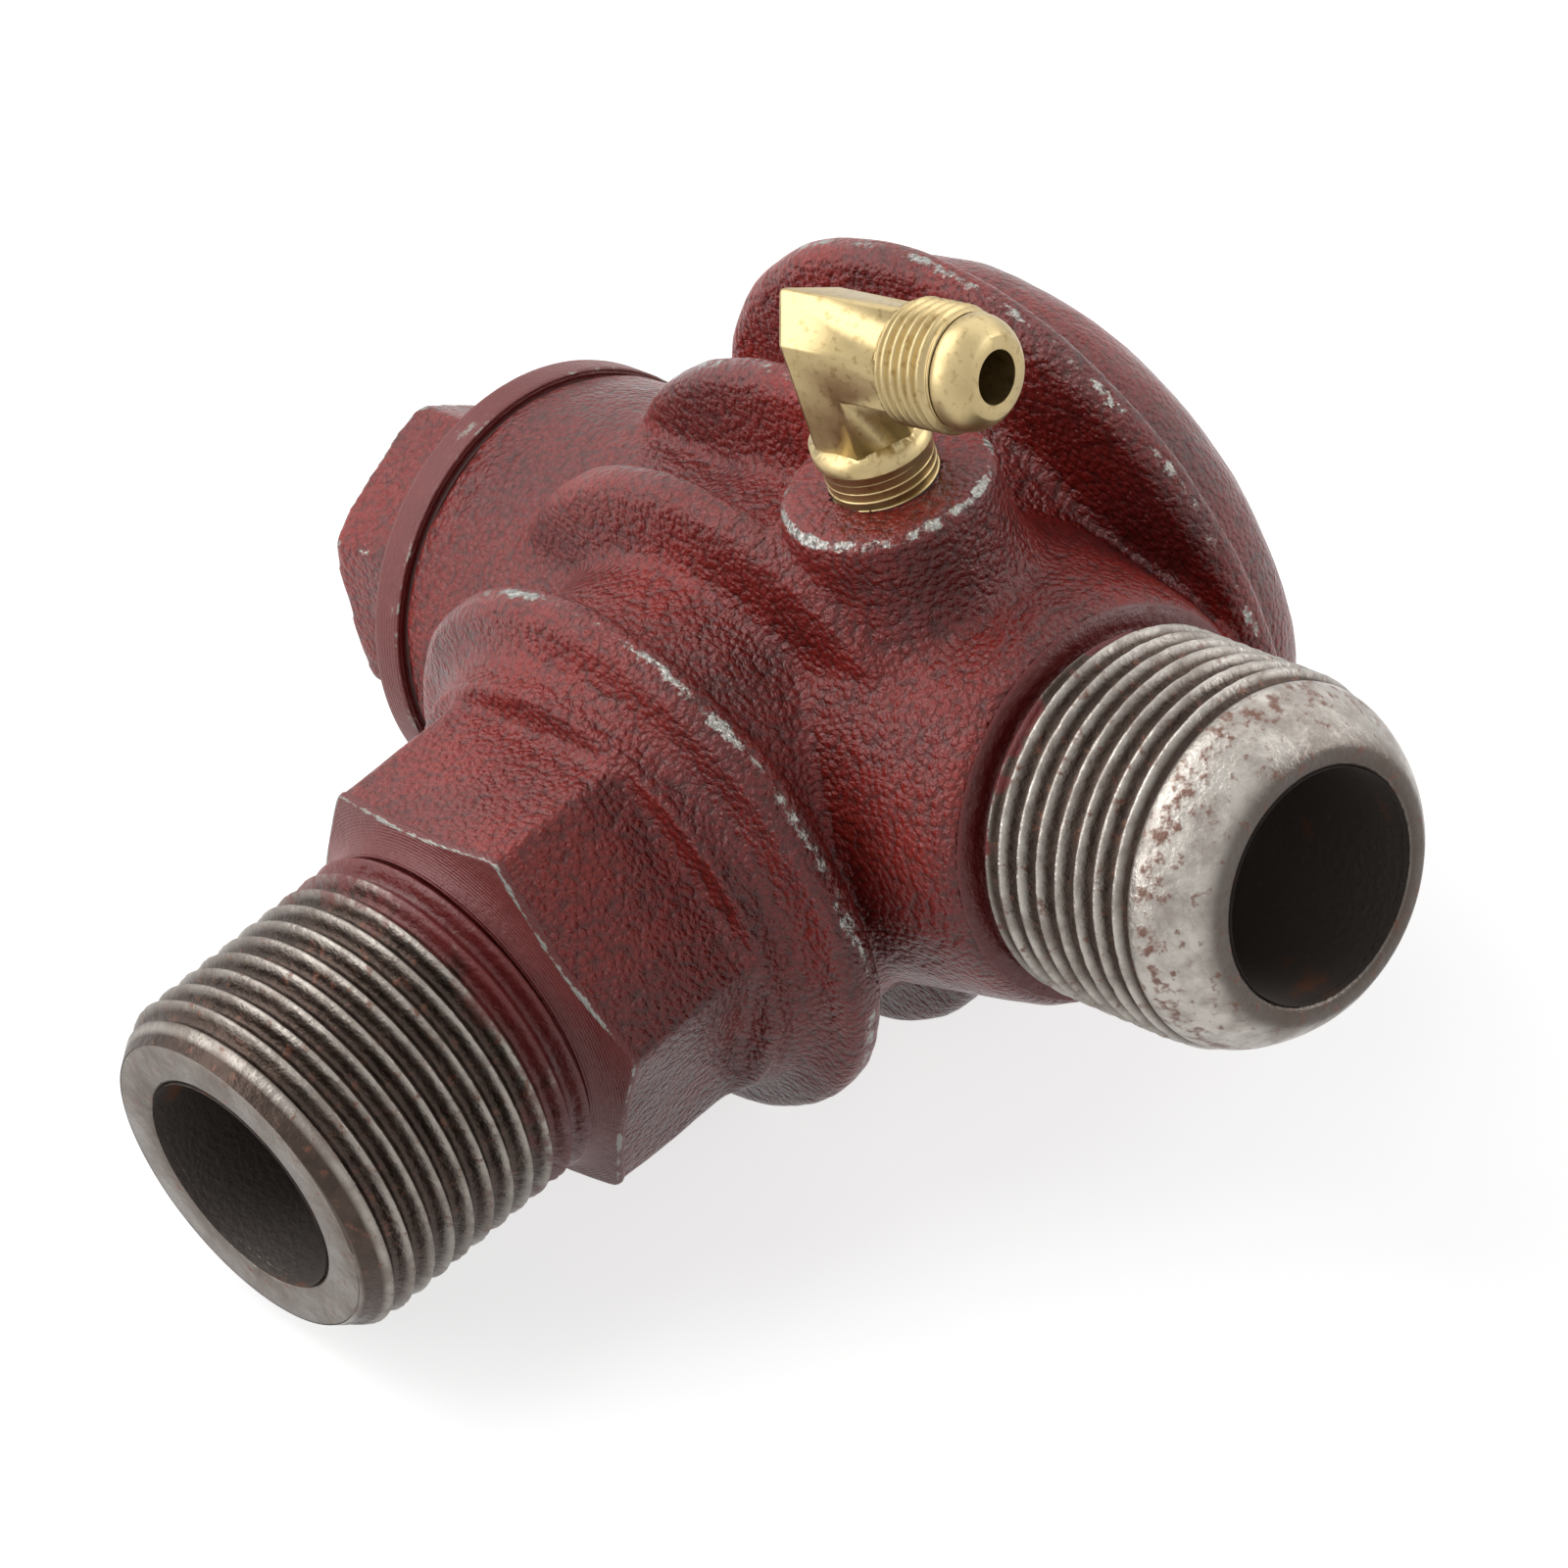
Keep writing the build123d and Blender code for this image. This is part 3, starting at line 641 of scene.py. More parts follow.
def thread_tree():
    """Geometry nodes for any cut thread: a strip as wide as one pitch is wound along a
    helix, turn against turn, and the tip and the run-out are cut back by cones. The nicks
    are noise, read on a circle of 10 units and at 700 units to the metre along."""
    points_across = 11
    run_out_slope = 0.9
    tree = bpy.data.node_groups.new("cut_thread", "GeometryNodeTree")
    for name, kind, value in (
        ("Start", "Float", 0.0), ("End", "Float", 0.02), ("Crest Radius", "Float", 0.01),
        ("Depth", "Float", 0.001), ("Pitch", "Float", 0.002), ("Tip Radius", "Float", 0.009),
        ("Tip Slope", "Float", 1.0), ("Run-out Radius", "Float", 0.01), ("Turns", "Int", 8),
        ("Steps per Turn", "Int", 120), ("Nicks", "Float", 0.0001),
        ("Turn", "Rotation", None), ("Place", "Vector", None), ("Finish", "Material", None),
    ):
        socket = tree.interface.new_socket(name=name, in_out="INPUT", socket_type="NodeSocket" + kind)
        if value is not None:
            socket.default_value = value
    tree.interface.new_socket(name="Thread", in_out="OUTPUT", socket_type="NodeSocketGeometry")
    given = tree.nodes.new("NodeGroupInput").outputs
    output = tree.nodes.new("NodeGroupOutput")

    def calc(operation, *values):
        """One Math node, as its output socket."""
        return add(tree, "ShaderNodeMath", {"operation": operation}, dict(enumerate(values))).outputs[0]

    columns = calc("MULTIPLY_ADD", given["Turns"], given["Steps per Turn"], 1.0)
    strip = add(
        tree, "GeometryNodeMeshGrid", None,
        {"Size X": 1.0, "Size Y": 1.0, "Vertices X": columns, "Vertices Y": points_across},
    )
    where = add(
        tree, "ShaderNodeSeparateXYZ", None,
        {0: add(tree, "GeometryNodeInputPosition").outputs[0]},
    )
    turns = calc("MULTIPLY", calc("ADD", where.outputs["X"], 0.5), given["Turns"])
    across = calc("ADD", where.outputs["Y"], 0.5)
    angle = calc("MULTIPLY", turns, 2 * math.pi)
    raw = calc(
        "MULTIPLY_ADD", calc("SUBTRACT", calc("ADD", turns, across), 1.0), given["Pitch"],
        given["Start"],
    )
    along = calc("MAXIMUM", calc("MINIMUM", raw, given["End"]), given["Start"])
    form = add(tree, "ShaderNodeFloatCurve", None, {"Value": across})
    curve = form.mapping.curves[0]
    curve.points[0].location = (0.0, 0.0)
    curve.points[1].location = (1.0, 0.0)
    for x, y in (
        (0.1, 0.04), (0.22, 0.28), (0.43, 0.92), (0.5, 1.0), (0.57, 0.92), (0.78, 0.28), (0.9, 0.04),
    ):
        curve.points.new(x, y)
    form.mapping.update()
    height = form.outputs[0]
    flat = add(
        tree, "ShaderNodeCombineXYZ", None,
        {
            "X": calc("MULTIPLY", calc("COSINE", angle), 10.0),
            "Y": calc("MULTIPLY", calc("SINE", angle), 10.0),
            "Z": calc("MULTIPLY", along, 700.0),
        },
    )
    knocks = add(
        tree, "ShaderNodeTexNoise", None,
        {"Vector": flat.outputs[0], "Scale": 1.6, "Detail": 3.0, "Roughness": 0.6},
    )
    knocked = calc("MAXIMUM", calc("SUBTRACT", knocks.outputs[0], 0.5), 0.0)
    nick = calc(
        "MULTIPLY", calc("MULTIPLY", knocked, 5.0), calc("MULTIPLY", height, given["Nicks"])
    )
    cut = calc("MULTIPLY", calc("SUBTRACT", 1.0, height), given["Depth"])
    radius = calc("SUBTRACT", calc("SUBTRACT", given["Crest Radius"], cut), nick)
    tip = calc(
        "MULTIPLY_ADD", calc("SUBTRACT", given["End"], along), given["Tip Slope"], given["Tip Radius"]
    )
    run_out = calc(
        "MULTIPLY_ADD", calc("SUBTRACT", along, given["Start"]), run_out_slope,
        given["Run-out Radius"],
    )
    radius = calc("MINIMUM", radius, calc("MINIMUM", tip, run_out))
    wound = add(
        tree, "ShaderNodeCombineXYZ", None,
        {
            "X": calc("MULTIPLY", radius, calc("COSINE", angle)),
            "Y": calc("MULTIPLY", radius, calc("SINE", angle)),
            "Z": along,
        },
    )
    # The crest mark is the thread's height. The cut iron uses it to darken the roots as painted shade.
    marked = add(
        tree, "GeometryNodeStoreNamedAttribute", {"data_type": "FLOAT", "domain": "POINT"},
        {"Geometry": strip.outputs["Mesh"], "Name": "crest", "Value": height},
    )
    bent = add(
        tree, "GeometryNodeSetPosition", None,
        {"Geometry": marked.outputs[0], "Position": wound.outputs[0]},
    )
    joined = add(
        tree, "GeometryNodeMergeByDistance", None, {"Geometry": bent.outputs[0], "Distance": 1e-6}
    )
    finish_tree(tree, joined.outputs[0], given, output)
    return tree


def wind(name, tree, **sizes):
    """A plain mesh piece from a tree, with its inputs set by their names."""
    piece = bpy.data.objects.new(name, bpy.data.meshes.new(name))
    bpy.context.scene.collection.objects.link(piece)
    modifier = piece.modifiers.new(name, "NODES")
    modifier.node_group = tree
    for item in tree.interface.items_tree:
        key = item.name.replace(" ", "_").replace("-", "_").lower()
        if item.in_out == "INPUT" and key in sizes:
            modifier[item.identifier] = sizes[key]
    made = bpy.data.meshes.new_from_object(
        piece.evaluated_get(bpy.context.evaluated_depsgraph_get())
    )
    piece.modifiers.clear()
    piece.data = made
    made.name = name
    return piece


def machined_iron(name, axis, paint_end, rust_line, shine):
    """Cut cast iron: grey-brown with bright rubbed crests and roots darkened as painted shade,
    rust specks of 1 mm, and paint overspray up to one place along the axis. Rust gathers at a second
    place.
    Dull clouds are 4 mm across, and the finest grit is 0.3 mm."""
    material, tree, output, place = blank_material(name)
    parts = add(tree, "ShaderNodeSeparateXYZ", None, {0: place})
    crest = add(tree, "ShaderNodeAttribute", {"attribute_name": "crest"})
    soft = add(
        tree, "ShaderNodeTexNoise", None,
        {"Vector": place, "Scale": 260.0, "Detail": 5.0, "Roughness": 0.65},
    )
    speck = add(
        tree, "ShaderNodeTexNoise", None,
        {"Vector": place, "Scale": 900.0, "Detail": 4.0, "Roughness": 0.6},
    )
    grit = add(tree, "ShaderNodeTexNoise", None, {"Vector": place, "Scale": 3200.0})
    # Painted shade: where the crest mark is low, in thread roots and on the neck's end face, the iron is
    # darkened towards #3f342e. The bright crests are rubbed iron.
    crest_rub_and_root_shade = add(
        tree, "ShaderNodeMapRange", None,
        {"Value": crest.outputs["Fac"], "From Min": 0.4, "From Max": 0.97},
    )
    iron = add(
        tree, "ShaderNodeMix", {"data_type": "RGBA"},
        {0: crest_rub_and_root_shade.outputs[0], 6: from_hex("#3f342e"), 7: from_hex(shine)},
    )
    dulled = add(
        tree, "ShaderNodeMix", {"data_type": "RGBA"},
        {
            0: add(
                tree, "ShaderNodeMapRange", None,
                {"Value": soft.outputs["Fac"], "From Min": 0.42, "From Max": 0.62, "To Max": 0.5},
            ).outputs[0],
            6: iron.outputs[2],
            7: from_hex("#5a4c44"),
        },
    )
    along = add(
        tree, "ShaderNodeMath", {"operation": "SUBTRACT"}, {0: parts.outputs[axis], 1: rust_line}
    )
    off_line = add(tree, "ShaderNodeMath", {"operation": "ABSOLUTE"}, {0: along.outputs[0]})
    near = add(
        tree, "ShaderNodeMapRange", None,
        {
            "Value": off_line.outputs[0],
            "From Min": 0.0,
            "From Max": 0.0024,
            "To Min": 0.10,
            "To Max": -0.02,
        },
    )
    rust_sum = add(
        tree, "ShaderNodeMath", {"operation": "ADD"}, {0: speck.outputs["Fac"], 1: near.outputs[0]}
    )
    rust = add(
        tree, "ShaderNodeMapRange", None,
        {"Value": rust_sum.outputs[0], "From Min": 0.57, "From Max": 0.70, "To Max": 0.85},
    )
    rusty = add(
        tree, "ShaderNodeMix", {"data_type": "RGBA"},
        {0: rust.outputs[0], 6: dulled.outputs[2], 7: from_hex("#7a4933")},
    )
    if axis == "Y":
        drift = 0.010
        limits = {"From Min": paint_end, "From Max": paint_end + 0.0024}
    else:
        drift = -0.006
        limits = {"From Min": paint_end + 0.0004, "From Max": paint_end}
    blown = add(
        tree, "ShaderNodeMath", {"operation": "MULTIPLY_ADD"},
        {0: soft.outputs["Fac"], 1: drift, 2: parts.outputs[axis]},
    )
    spray = add(tree, "ShaderNodeMapRange", None, {"Value": blown.outputs[0], **limits})
    colour = add(
        tree, "ShaderNodeMix", {"data_type": "RGBA"},
        {0: spray.outputs[0], 6: rusty.outputs[2], 7: from_hex("#6b2220")},
    )
    covered = add(
        tree, "ShaderNodeMath", {"operation": "MAXIMUM"}, {0: rust.outputs[0], 1: spray.outputs[0]}
    )
    metal = add(
        tree, "ShaderNodeMapRange", None,
        {"Value": covered.outputs[0], "To Min": 0.85, "To Max": 0.0},
    )
    gloss = add(
        tree, "ShaderNodeMapRange", None,
        {"Value": soft.outputs["Fac"], "From Min": 0.35, "From Max": 0.7, "To Min": 0.3, "To Max": 0.5},
    )
    pits = add(
        tree, "ShaderNodeBump", None,
        {"Height": speck.outputs["Fac"], "Strength": 0.6, "Distance": 0.0004},
    )
    fine = add(
        tree, "ShaderNodeBump", None,
        {
            "Height": grit.outputs["Fac"],
            "Strength": 0.3,
            "Distance": 0.00006,
            "Normal": pits.outputs[0],
        },
    )
    surface = add(
        tree, "ShaderNodeBsdfPrincipled", None,
        {
            "Base Color": colour.outputs[2],
            "Metallic": metal.outputs[0],
            "Roughness": gloss.outputs[0],
            "Normal": fine.outputs[0],
        },
    )
    tree.links.new(surface.outputs[0], output.inputs["Surface"])
    return material


thread_nodes = thread_tree()
pipe_pitch = 0.002309
pipe_crest_r = 0.0166
tank_end_y = 0.07309
tank_iron = machined_iron("cut_iron_tank", "Y", cross_y - 0.0482, cross_y - 0.0900, "#9a938b")
inlet_iron = machined_iron("cut_iron_inlet", "X", 0.0325, 0.0548, "#b8b2aa")
tank_thread = wind(
    "tank_thread", thread_nodes, start=0.0468, end=tank_end_y, crest_radius=pipe_crest_r,
    depth=0.00135, pitch=pipe_pitch, tip_radius=0.0145, tip_slope=0.72, run_out_radius=0.0160, turns=13,
    steps_per_turn=150, nicks=0.0001, turn=(math.radians(90), 0, 0), place=(0, cross_y, 0),
    finish=tank_iron,
)
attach(tank_thread, "housing")
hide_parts("valve_body")
inlet_thread = wind(
    "inlet_thread", thread_nodes, start=0.0353, end=0.0534, crest_radius=pipe_crest_r,
    depth=0.00125, pitch=pipe_pitch, tip_radius=0.0157, tip_slope=0.6, run_out_radius=0.0155, turns=10,
    steps_per_turn=150, nicks=0.0001, turn=(0, math.radians(90), 0), place=(0, cross_y, 0),
    finish=inlet_iron,
)
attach(inlet_thread, "housing")
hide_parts("valve_body")


ring_steps = 180
ring_turns = [2 * math.pi * i / ring_steps for i in range(ring_steps)]


def about_tank(rows):
    """Rings about the outlet axis from (place along the outlet, radius) rows."""
    return [[(r * math.cos(a), cross_y - y, r * math.sin(a)) for a in ring_turns] for y, r in rows]


def about_inlet(rows):
    """Rings about the inlet axis from (place along the inlet, radius) rows."""
    return [[(x, cross_y + r * math.cos(a), r * math.sin(a)) for a in ring_turns] for x, r in rows]


tank_end = ring_mesh(
    "tank_end",
    about_tank([(0.0724, 0.0148), (0.0729, 0.0146), (tank_end_y, 0.0144), (tank_end_y, 0.0110),
                (0.0728, 0.0106), (0.0722, 0.01048)]),
    tank_iron,
    "crest",
    [0.95, 1.0, 0.8, 0.7, 0.8, 0.5],
)
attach(tank_end, "housing")
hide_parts("valve_body")
# Painted shade: the neck's end face and the groove behind it carry crest 0, so the cut iron paints them
# dark brown where that face turns away from the lamps.
inlet_land = ring_mesh(
    "inlet_land",
    about_inlet([(0.0341, 0.0176), (neck_end_x, neck_end_r), (neck_end_x, 0.0158), (0.0345, 0.0150),
                 (0.0349, 0.0147), (0.0356, 0.0149), (0.0362, 0.0148)]),
    inlet_iron,
    "crest",
    [0.2, 0.1, 0.0, 0.0, 0.0, 0.0, 0.0],
)
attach(inlet_land, "housing")
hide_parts("valve_body")
inlet_nose = ring_mesh(
    "inlet_nose",
    about_inlet([(0.0524, 0.0150), (0.0529, 0.0158), (0.0533, 0.0160), (0.0541, 0.01585),
                 (0.0550, 0.0155), (0.0560, 0.0150), (0.0571, 0.01435), (0.0580, 0.0137),
                 (0.0587, 0.0131), (0.0592, 0.01255), (0.0595, 0.0122), (0.0596, 0.0119),
                 (0.0596, 0.0108), (0.0594, 0.01045), (0.0588, 0.01033)]),
    inlet_iron,
    "crest",
    [0.9, 1.0, 0.95, 1.0, 1.0, 1.0, 1.0, 1.0, 0.9, 0.7, 0.55, 0.5, 0.45, 0.6, 0.4],
)
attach(inlet_nose, "housing")
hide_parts("valve_body")


# Bonnet cap: a second casting, screwed into the barrel by its hexagon head. It is painted
# with the body; the turned flange stands a little proud of the barrel.
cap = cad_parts["bonnet_cap"]
cap_skin, points, normals, wear, outside = cast_skin(
    "bonnet_skin", cap, [], voxel=0.0005, blend_rounds=3
)

# The cast skin leaves out the rim of the flange, and is half as uneven as the body's.
rim_front = -0.0410
rim_back = -0.0362
rim_inner_r = 0.0190
cap_reach = np.hypot(points[:, 1] - cross_y, points[:, 2])
at_rim = (points[:, 0] < rim_back) & (points[:, 0] > rim_front)
outside &= ~((cap_reach > rim_inner_r) & at_rim)
points = sand_surface(points, normals * 0.5)
keep_faces(cap_skin, points, wear, outside)
cap_skin.data.materials.append(paint)
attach(cap_skin, "housing")
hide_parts("bonnet_cap")
flange_paint = turned_paint("painted_turned_flange", (1, 0, 0), 1.22)
cap_flange = ring_mesh(
    "cap_flange",
    about_inlet([(-0.0404, 0.0186), (-0.04028, 0.0192), (-0.04027, 0.0200), (-0.04015, 0.0204),
                 (-0.0399, 0.0206), (-0.0395, 0.02068), (-0.0371, 0.02068), (-0.03678, 0.02064),
                 (-0.03664, 0.0205), (-0.03662, 0.0200), (-0.03662, 0.0172)])[::-1],
    flange_paint,
    "wear",
    [0.0, 0.2, 0.4, 0.45, 0.36, 0.3, 0.4, 0.5, 0.4, 0.1, 0.0],
)
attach(cap_flange, "housing")
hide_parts("bonnet_cap")


# Unloader elbow: bar brass with six flats, mitred and forged at the corner, then turned at
# both ends. The arm ends in a flare nose for the small tube, the stem is a pipe thread.
elbow_turn = math.radians(8)
elbow_centre = Vector((boss_x, cross_y, 0.0434))
arm = Vector((math.cos(elbow_turn), math.sin(elbow_turn), 0))
arm_bar_end = 0.0074
stem_bar_end = -0.0082


def bright_brass():
    """Free-cutting brass straight from the lathe: pale gold with clouds of 4 mm, and faint
    tool marks and dents, drawn at 0.7 mm, coarser than real, so that they show."""
    material, tree, output, place = blank_material("bar_brass")
    cloud = add(tree, "ShaderNodeTexNoise", None, {"Vector": place, "Scale": 240.0, "Detail": 4.0})
    scratch = add(tree, "ShaderNodeTexNoise", None, {"Vector": place, "Scale": 1400.0, "Detail": 3.0})
    pale = add(
        tree, "ShaderNodeMix", {"data_type": "RGBA"},
        {0: cloud.outputs["Fac"], 6: from_hex("#a38e62"), 7: from_hex("#cab78b")},
    )
    tarnish = add(
        tree, "ShaderNodeMapRange", None,
        {"Value": scratch.outputs["Fac"], "From Min": 0.56, "From Max": 0.70, "To Max": 0.5},
    )
    colour = add(
        tree, "ShaderNodeMix", {"data_type": "RGBA"},
        {0: tarnish.outputs[0], 6: pale.outputs[2], 7: from_hex("#83683c")},
    )
    gloss = add(
        tree, "ShaderNodeMapRange", None,
        {"Value": cloud.outputs["Fac"], "From Min": 0.3, "From Max": 0.7, "To Min": 0.3, "To Max": 0.45},
    )
    dents = add(
        tree, "ShaderNodeBump", None,
        {"Height": scratch.outputs["Fac"], "Strength": 0.25, "Distance": 0.00008},
    )
    surface = add(
        tree, "ShaderNodeBsdfPrincipled", None,
        {
            "Base Color": colour.outputs[2],
            "Metallic": 1.0,
            "Roughness": gloss.outputs[0],
            "Normal": dents.outputs[0],
        },
    )
    tree.links.new(surface.outputs[0], output.inputs["Surface"])
    return material


brass = bright_brass()

# The plain cylinders at both ends shrink to the roots of the threads that go round them.
flare_start = 0.0079
flare_plain_r = 0.00545
flare_root_r = 0.0048
pipe_start = -0.0107
pipe_plain_r = 0.00485
pipe_root_r = 0.0044
shape = bmesh.new()
shape.from_mesh(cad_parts["unloader_elbow"].data)
bmesh.ops.remove_doubles(shape, verts=shape.verts, dist=1e-6)
for vertex in shape.verts:
    offset = vertex.co - elbow_centre
    along = offset.dot(arm)
    side = offset - arm * along
    if along > flare_start and side.length > flare_plain_r:
        vertex.co = elbow_centre + arm * along + side.normalized() * flare_root_r
    side = Vector((offset.x, offset.y, 0))
    if offset.z < pipe_start and side.length > pipe_plain_r:
        vertex.co = elbow_centre + side.normalized() * pipe_root_r + Vector((0, 0, offset.z))
bmesh.ops.dissolve_limit(
    shape, angle_limit=math.radians(1), verts=shape.verts, edges=shape.edges
)
sharp_angle = math.radians(25)
shortest_edge = 0.003
edge_bevel = 0.00028
bar_edges = []
for edge in shape.edges:
    middle = (edge.verts[0].co + edge.verts[1].co) / 2 - elbow_centre
    on_bar = middle.dot(arm) < arm_bar_end and middle.z > stem_bar_end
    sharp = len(edge.link_faces) == 2 and edge.calc_face_angle() > sharp_angle
    if on_bar and sharp and edge.calc_length() > shortest_edge:
        bar_edges.append(edge)
bmesh.ops.bevel(
    shape, geom=bar_edges, offset=edge_bevel, segments=2, affect="EDGES", profile=0.5
)
elbow_mesh = bpy.data.meshes.new("elbow_bar")
shape.to_mesh(elbow_mesh)
shape.free()
elbow_bar = bpy.data.objects.new("elbow_bar", elbow_mesh)
bpy.context.scene.collection.objects.link(elbow_bar)
for face in elbow_mesh.polygons:
    offset = face.center - elbow_centre
    face.use_smooth = offset.dot(arm) > arm_bar_end or offset.z < stem_bar_end
elbow_mesh.set_sharp_from_angle(angle=math.radians(28))
elbow_mesh.materials.append(brass)
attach(elbow_bar, "housing")
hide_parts("unloader_elbow")
flare_thread = wind(
    "flare_thread", thread_nodes, start=0.0072, end=0.0139, crest_radius=0.0055, depth=0.00055,
    pitch=0.00095, tip_radius=0.0050, tip_slope=0.8, run_out_radius=0.0042, turns=8,
    steps_per_turn=72, nicks=0.00002, turn=(0, math.radians(90), elbow_turn),
    place=elbow_centre, finish=brass,
)
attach(flare_thread, "housing")
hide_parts("unloader_elbow")
pipe_thread = wind(
    "pipe_thread", thread_nodes, start=-0.0170, end=-0.0108, crest_radius=0.0049, depth=0.0005,
    pitch=0.000907, tip_radius=0.0046, tip_slope=0.9, run_out_radius=0.0046, turns=8,
    steps_per_turn=72, nicks=0.00002, turn=(0, 0, 0), place=elbow_centre, finish=brass,
)
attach(pipe_thread, "housing")
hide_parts("unloader_elbow")


# Return spring: round steel wire, coiled cold and zinc-plated. It sits between the cap and
# the poppet, and pushes the poppet onto its seat.
def plated_wire():
    """Zinc-plated steel: light grey and fairly bright, with faint clouds of 2 mm."""
    material, tree, output, place = blank_material("zinc_plated_steel")
    cloud = add(tree, "ShaderNodeTexNoise", None, {"Vector": place, "Scale": 500.0, "Detail": 3.0})
    colour = add(
        tree, "ShaderNodeMix", {"data_type": "RGBA"},
        {0: cloud.outputs["Fac"], 6: from_hex("#9a9a98"), 7: from_hex("#c4c4c0")},
    )
    surface = add(
        tree, "ShaderNodeBsdfPrincipled", None,
        {"Base Color": colour.outputs[2], "Metallic": 1.0, "Roughness": 0.32},
    )
    tree.links.new(surface.outputs[0], output.inputs["Surface"])
    return material


def coil_tree():
    """Geometry nodes for a coil spring: a helix with a round wire swept along it."""
    tree = bpy.data.node_groups.new("coil_spring", "GeometryNodeTree")
    for name, kind in (
        ("Radius", "Float"), ("Length", "Float"), ("Coils", "Float"), ("Wire Radius", "Float"),
        ("Turn", "Rotation"), ("Place", "Vector"), ("Finish", "Material"),
    ):
        tree.interface.new_socket(name=name, in_out="INPUT", socket_type="NodeSocket" + kind)
    tree.interface.new_socket(name="Spring", in_out="OUTPUT", socket_type="NodeSocketGeometry")
    given = tree.nodes.new("NodeGroupInput").outputs
    output = tree.nodes.new("NodeGroupOutput")
    helix = add(
        tree, "GeometryNodeCurveSpiral", None,
        {
            "Resolution": 48, "Rotations": given["Coils"], "Start Radius": given["Radius"],
            "End Radius": given["Radius"], "Height": given["Length"],
        },
    )
    round_wire = add(
        tree, "GeometryNodeCurvePrimitiveCircle", None,
        {"Resolution": 12, "Radius": given["Wire Radius"]},
    )
    swept = add(
        tree, "GeometryNodeCurveToMesh", None,
        {"Curve": helix.outputs[0], "Profile Curve": round_wire.outputs[0], "Fill Caps": True},
    )
    finish_tree(tree, swept.outputs[0], given, output)
    return tree


zinc = plated_wire()
end_gap = 0.0006
low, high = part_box("return_spring")
spring = wind(
    "coil_spring", coil_tree(), radius=0.0077, length=high[0] - low[0] - 2 * end_gap,
    coils=6.0, wire_radius=0.00058, turn=(0, math.radians(90), 0),
    place=(low[0] + end_gap, cross_y, 0), finish=zinc,
)
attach(spring, "housing")
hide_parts("return_spring")
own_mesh(spring)


# Poppet group, gasket and small parts: turned brass disc and stem, black rubber seal, steel
# washer and screw, and a fibre gasket in the seam of the cap.
def seal_rubber(name, dark, light, roughness):
    """Pressed rubber or fibre sheet: dark and matt, with an even grain, drawn at 0.6 mm,
    coarser than real, so that it shows."""
    material, tree, output, place = blank_material(name)
    grain = add(tree, "ShaderNodeTexNoise", None, {"Vector": place, "Scale": 1800.0, "Detail": 3.0})
    colour = add(
        tree, "ShaderNodeMix", {"data_type": "RGBA"},
        {0: grain.outputs["Fac"], 6: from_hex(dark), 7: from_hex(light)},
    )
    rough = add(
        tree, "ShaderNodeBump", None,
        {"Height": grain.outputs["Fac"], "Strength": 0.3, "Distance": 0.0001},
    )
    surface = add(
        tree, "ShaderNodeBsdfPrincipled", None,
        {"Base Color": colour.outputs[2], "Roughness": roughness, "Normal": rough.outputs[0]},
    )
    tree.links.new(surface.outputs[0], output.inputs["Surface"])
    return material


for node, material in (
    ("poppet", brass),
    ("seal_disc", seal_rubber("nitrile_rubber", "#141414", "#242322", 0.5)),
    ("retaining_washer", zinc),
    ("retaining_screw", zinc),
    ("cap_gasket", seal_rubber("pressed_fibre", "#2a1715", "#47201c", 0.75)),
):
    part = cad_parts[node]
    part.data.materials.clear()
    part.data.materials.append(material)
    part.data.set_sharp_from_angle(angle=math.radians(30))


# Camera, table and lamps: the camera stands where the photograph was taken from. The valve
# lies on a white table, which glows just enough to show white, under large soft lamps in a
# dim room.
azimuth = math.radians(58.04432)
elevation = math.radians(34.40858)
roll = math.radians(-19.71721)
focal_pixels = 8603.833
photo_pixels = 1600
camera_distance = 0.7399505
camera_aside = -0.00518
camera_rise = -0.00773
valve_middle = Vector((0, cross_y, 0))
back = Vector(
    (
        math.sin(azimuth) * math.cos(elevation),
        -math.cos(azimuth) * math.cos(elevation),
        math.sin(elevation),
    )
)
level = Vector((0, 0, 1)).cross(back).normalized()
upright = back.cross(level)
right = math.cos(roll) * level + math.sin(roll) * upright
up = -math.sin(roll) * level + math.cos(roll) * upright
camera = bpy.data.objects.new("camera", bpy.data.cameras.new("camera"))
camera.data.sensor_width = 36.0
camera.data.lens = focal_pixels / photo_pixels * camera.data.sensor_width
camera.data.clip_start = 0.05
camera.data.clip_end = 20.0
spot = back * camera_distance + right * camera_aside + up * camera_rise + valve_middle
camera.matrix_world = Matrix(
    (
        (right.x, up.x, back.x, spot.x),
        (right.y, up.y, back.y, spot.y),
        (right.z, up.z, back.z, spot.z),
        (0, 0, 0, 1),
    )
)
bpy.context.scene.collection.objects.link(camera)
bpy.context.scene.camera = camera

table_up = Vector((0.217, 0.171, 0.960)).normalized()
table_drop = 0.0290
table_mesh = bpy.data.meshes.new("table")
flat = bmesh.new()
bmesh.ops.create_circle(
    flat, cap_ends=True, segments=96, radius=3.0,
    matrix=Matrix.Translation(valve_middle - table_up * table_drop)
    @ table_up.to_track_quat("Z", "Y").to_matrix().to_4x4(),
)
flat.to_mesh(table_mesh)
flat.free()
table = bpy.data.objects.new("table", table_mesh)
bpy.context.scene.collection.objects.link(table)


def seen_white(tree):
    """1 where the camera sees the background, straight or in metal or glass, and 0 for light."""
    path = add(tree, "ShaderNodeLightPath")
    mirrored = add(
        tree, "ShaderNodeMath", {"operation": "MAXIMUM"},
        {0: path.outputs["Is Glossy Ray"], 1: path.outputs["Is Transmission Ray"]},
    )
    seen = add(
        tree, "ShaderNodeMath", {"operation": "MAXIMUM"},
        {0: path.outputs["Is Camera Ray"], 1: mirrored.outputs[0]},
    )
    return seen.outputs[0]


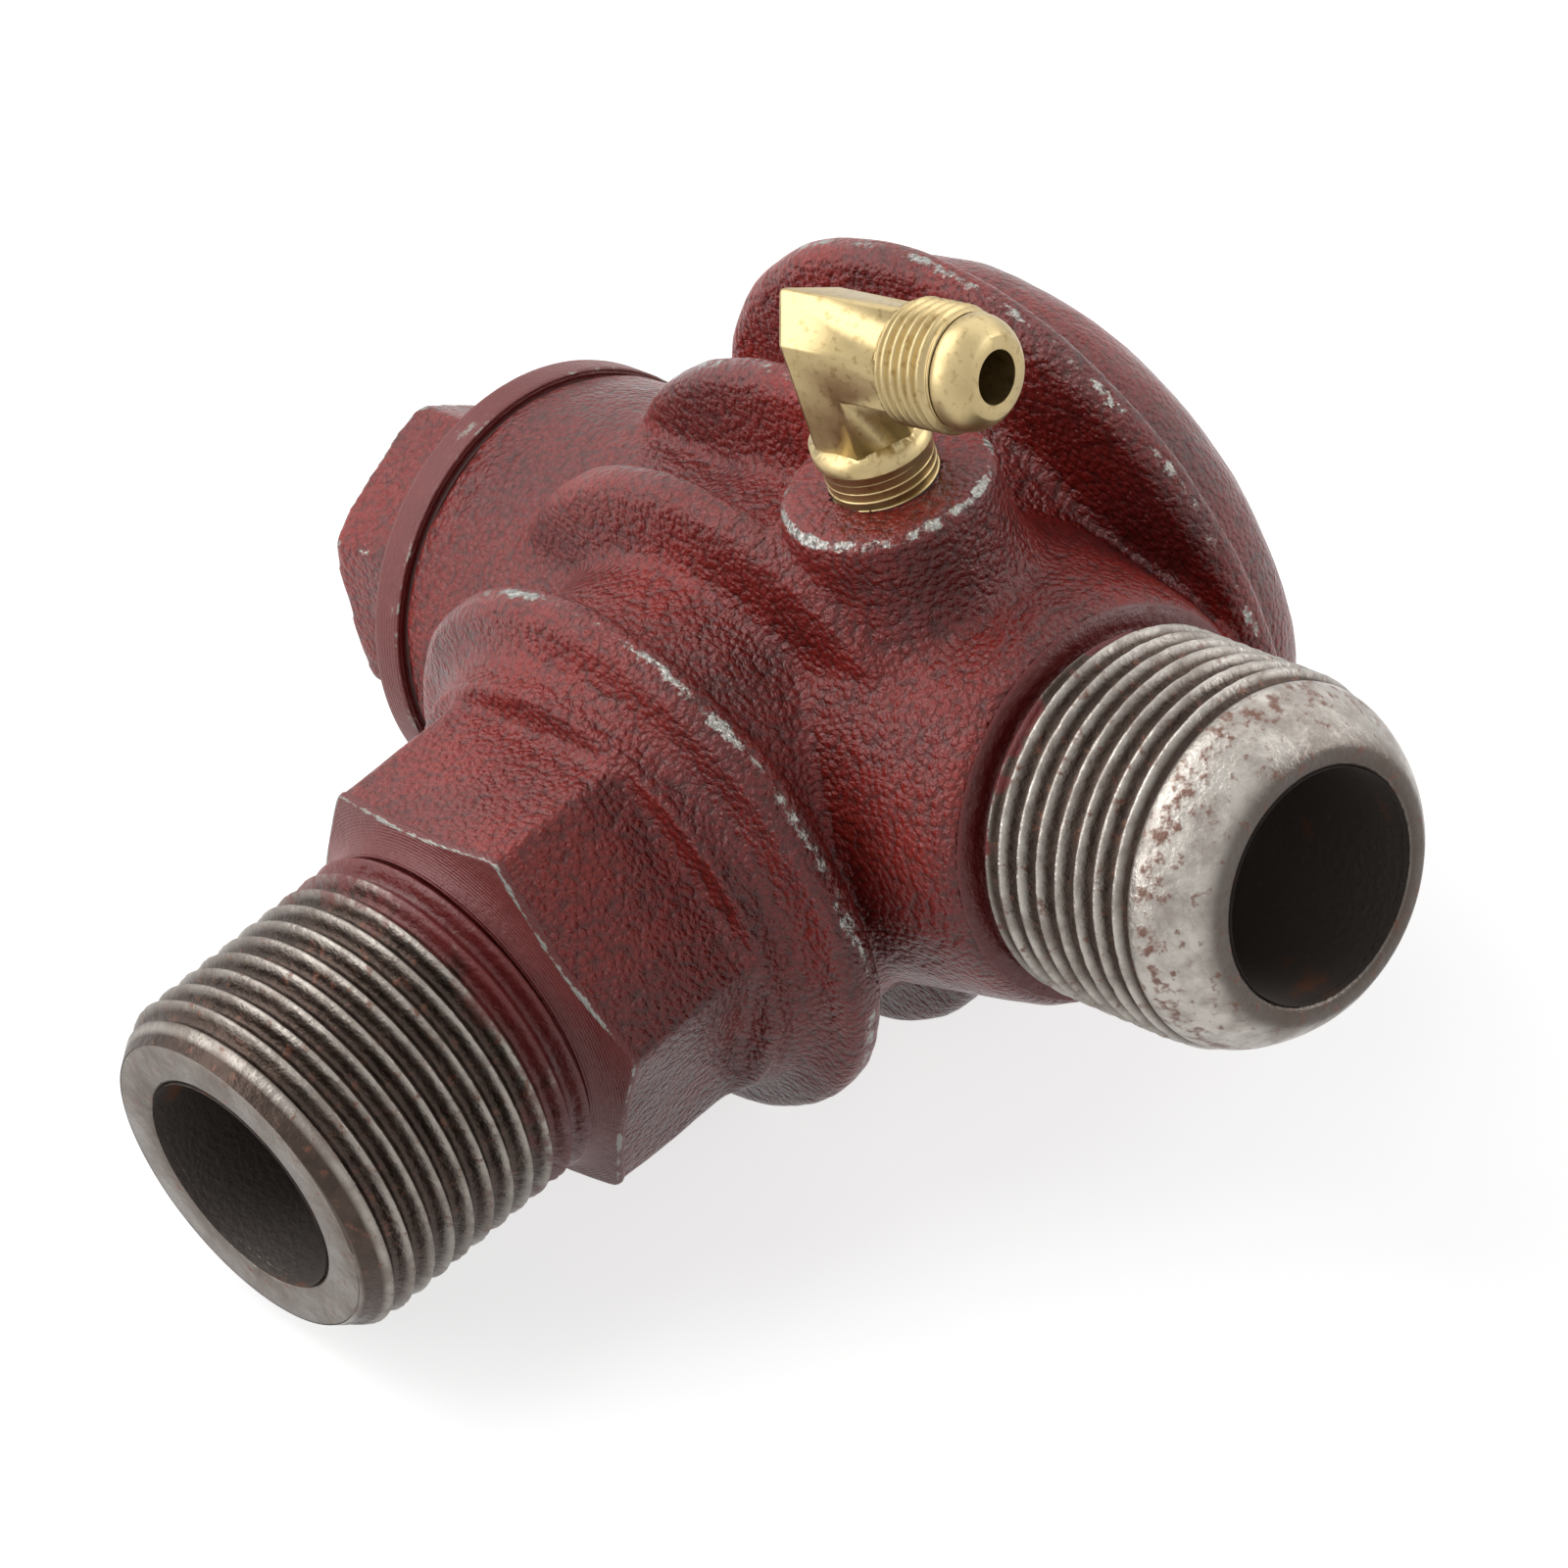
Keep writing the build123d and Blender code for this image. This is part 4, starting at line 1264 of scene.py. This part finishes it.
table_top = bpy.data.materials.new("white_table")
table_top.use_nodes = True
tree = table_top.node_tree
tree.nodes.clear()
seen = seen_white(tree)
glow = add(tree, "ShaderNodeEmission", None, {"Color": from_hex("#ffffff"), "Strength": 0.75})
matt = add(tree, "ShaderNodeBsdfDiffuse", None, {"Color": from_hex("#b8b8b8")})
both = add(tree, "ShaderNodeAddShader", None, {0: glow.outputs[0], 1: matt.outputs[0]})
mixed = add(
    tree, "ShaderNodeMixShader", None,
    {0: seen, 1: matt.outputs[0], 2: both.outputs[0]},
)
add(tree, "ShaderNodeOutputMaterial", None, {"Surface": mixed.outputs[0]})
table_mesh.materials.append(table_top)

for name, side, lift, near, distance, width, power in (
    ("key", -0.75, 0.85, 0.35, 0.9, 0.8, 6.0),
    ("top", 0.35, 1.0, -0.1, 1.0, 1.0, 2.5),
    ("right", 1.0, 0.45, 0.15, 1.0, 0.45, 2.4),
    ("left", -1.0, 0.05, 0.45, 0.9, 0.5, 2.8),
    ("front", -0.2, 0.1, 1.0, 1.2, 0.8, 0.4),
):
    lamp = bpy.data.objects.new(name, bpy.data.lights.new(name, "AREA"))
    lamp.data.size = width
    lamp.data.energy = power
    aim = (right * side + up * lift + back * near).normalized()
    lamp.location = valve_middle + aim * distance
    lamp.rotation_mode = "QUATERNION"
    lamp.rotation_quaternion = aim.to_track_quat("Z", "Y")
    bpy.context.scene.collection.objects.link(lamp)

world = bpy.data.worlds.new("studio")
world.use_nodes = True
bpy.context.scene.world = world
tree = world.node_tree
tree.nodes.clear()
seen = seen_white(tree)
room = add(tree, "ShaderNodeBackground", None, {"Color": from_hex("#ffffff"), "Strength": 0.12})
white = add(tree, "ShaderNodeBackground", None, {"Color": from_hex("#ffffff"), "Strength": 1.0})
mixed = add(
    tree, "ShaderNodeMixShader", None,
    {0: seen, 1: room.outputs[0], 2: white.outputs[0]},
)
add(tree, "ShaderNodeOutputWorld", None, {"Surface": mixed.outputs[0]})

bpy.context.scene.view_settings.view_transform = "Standard"
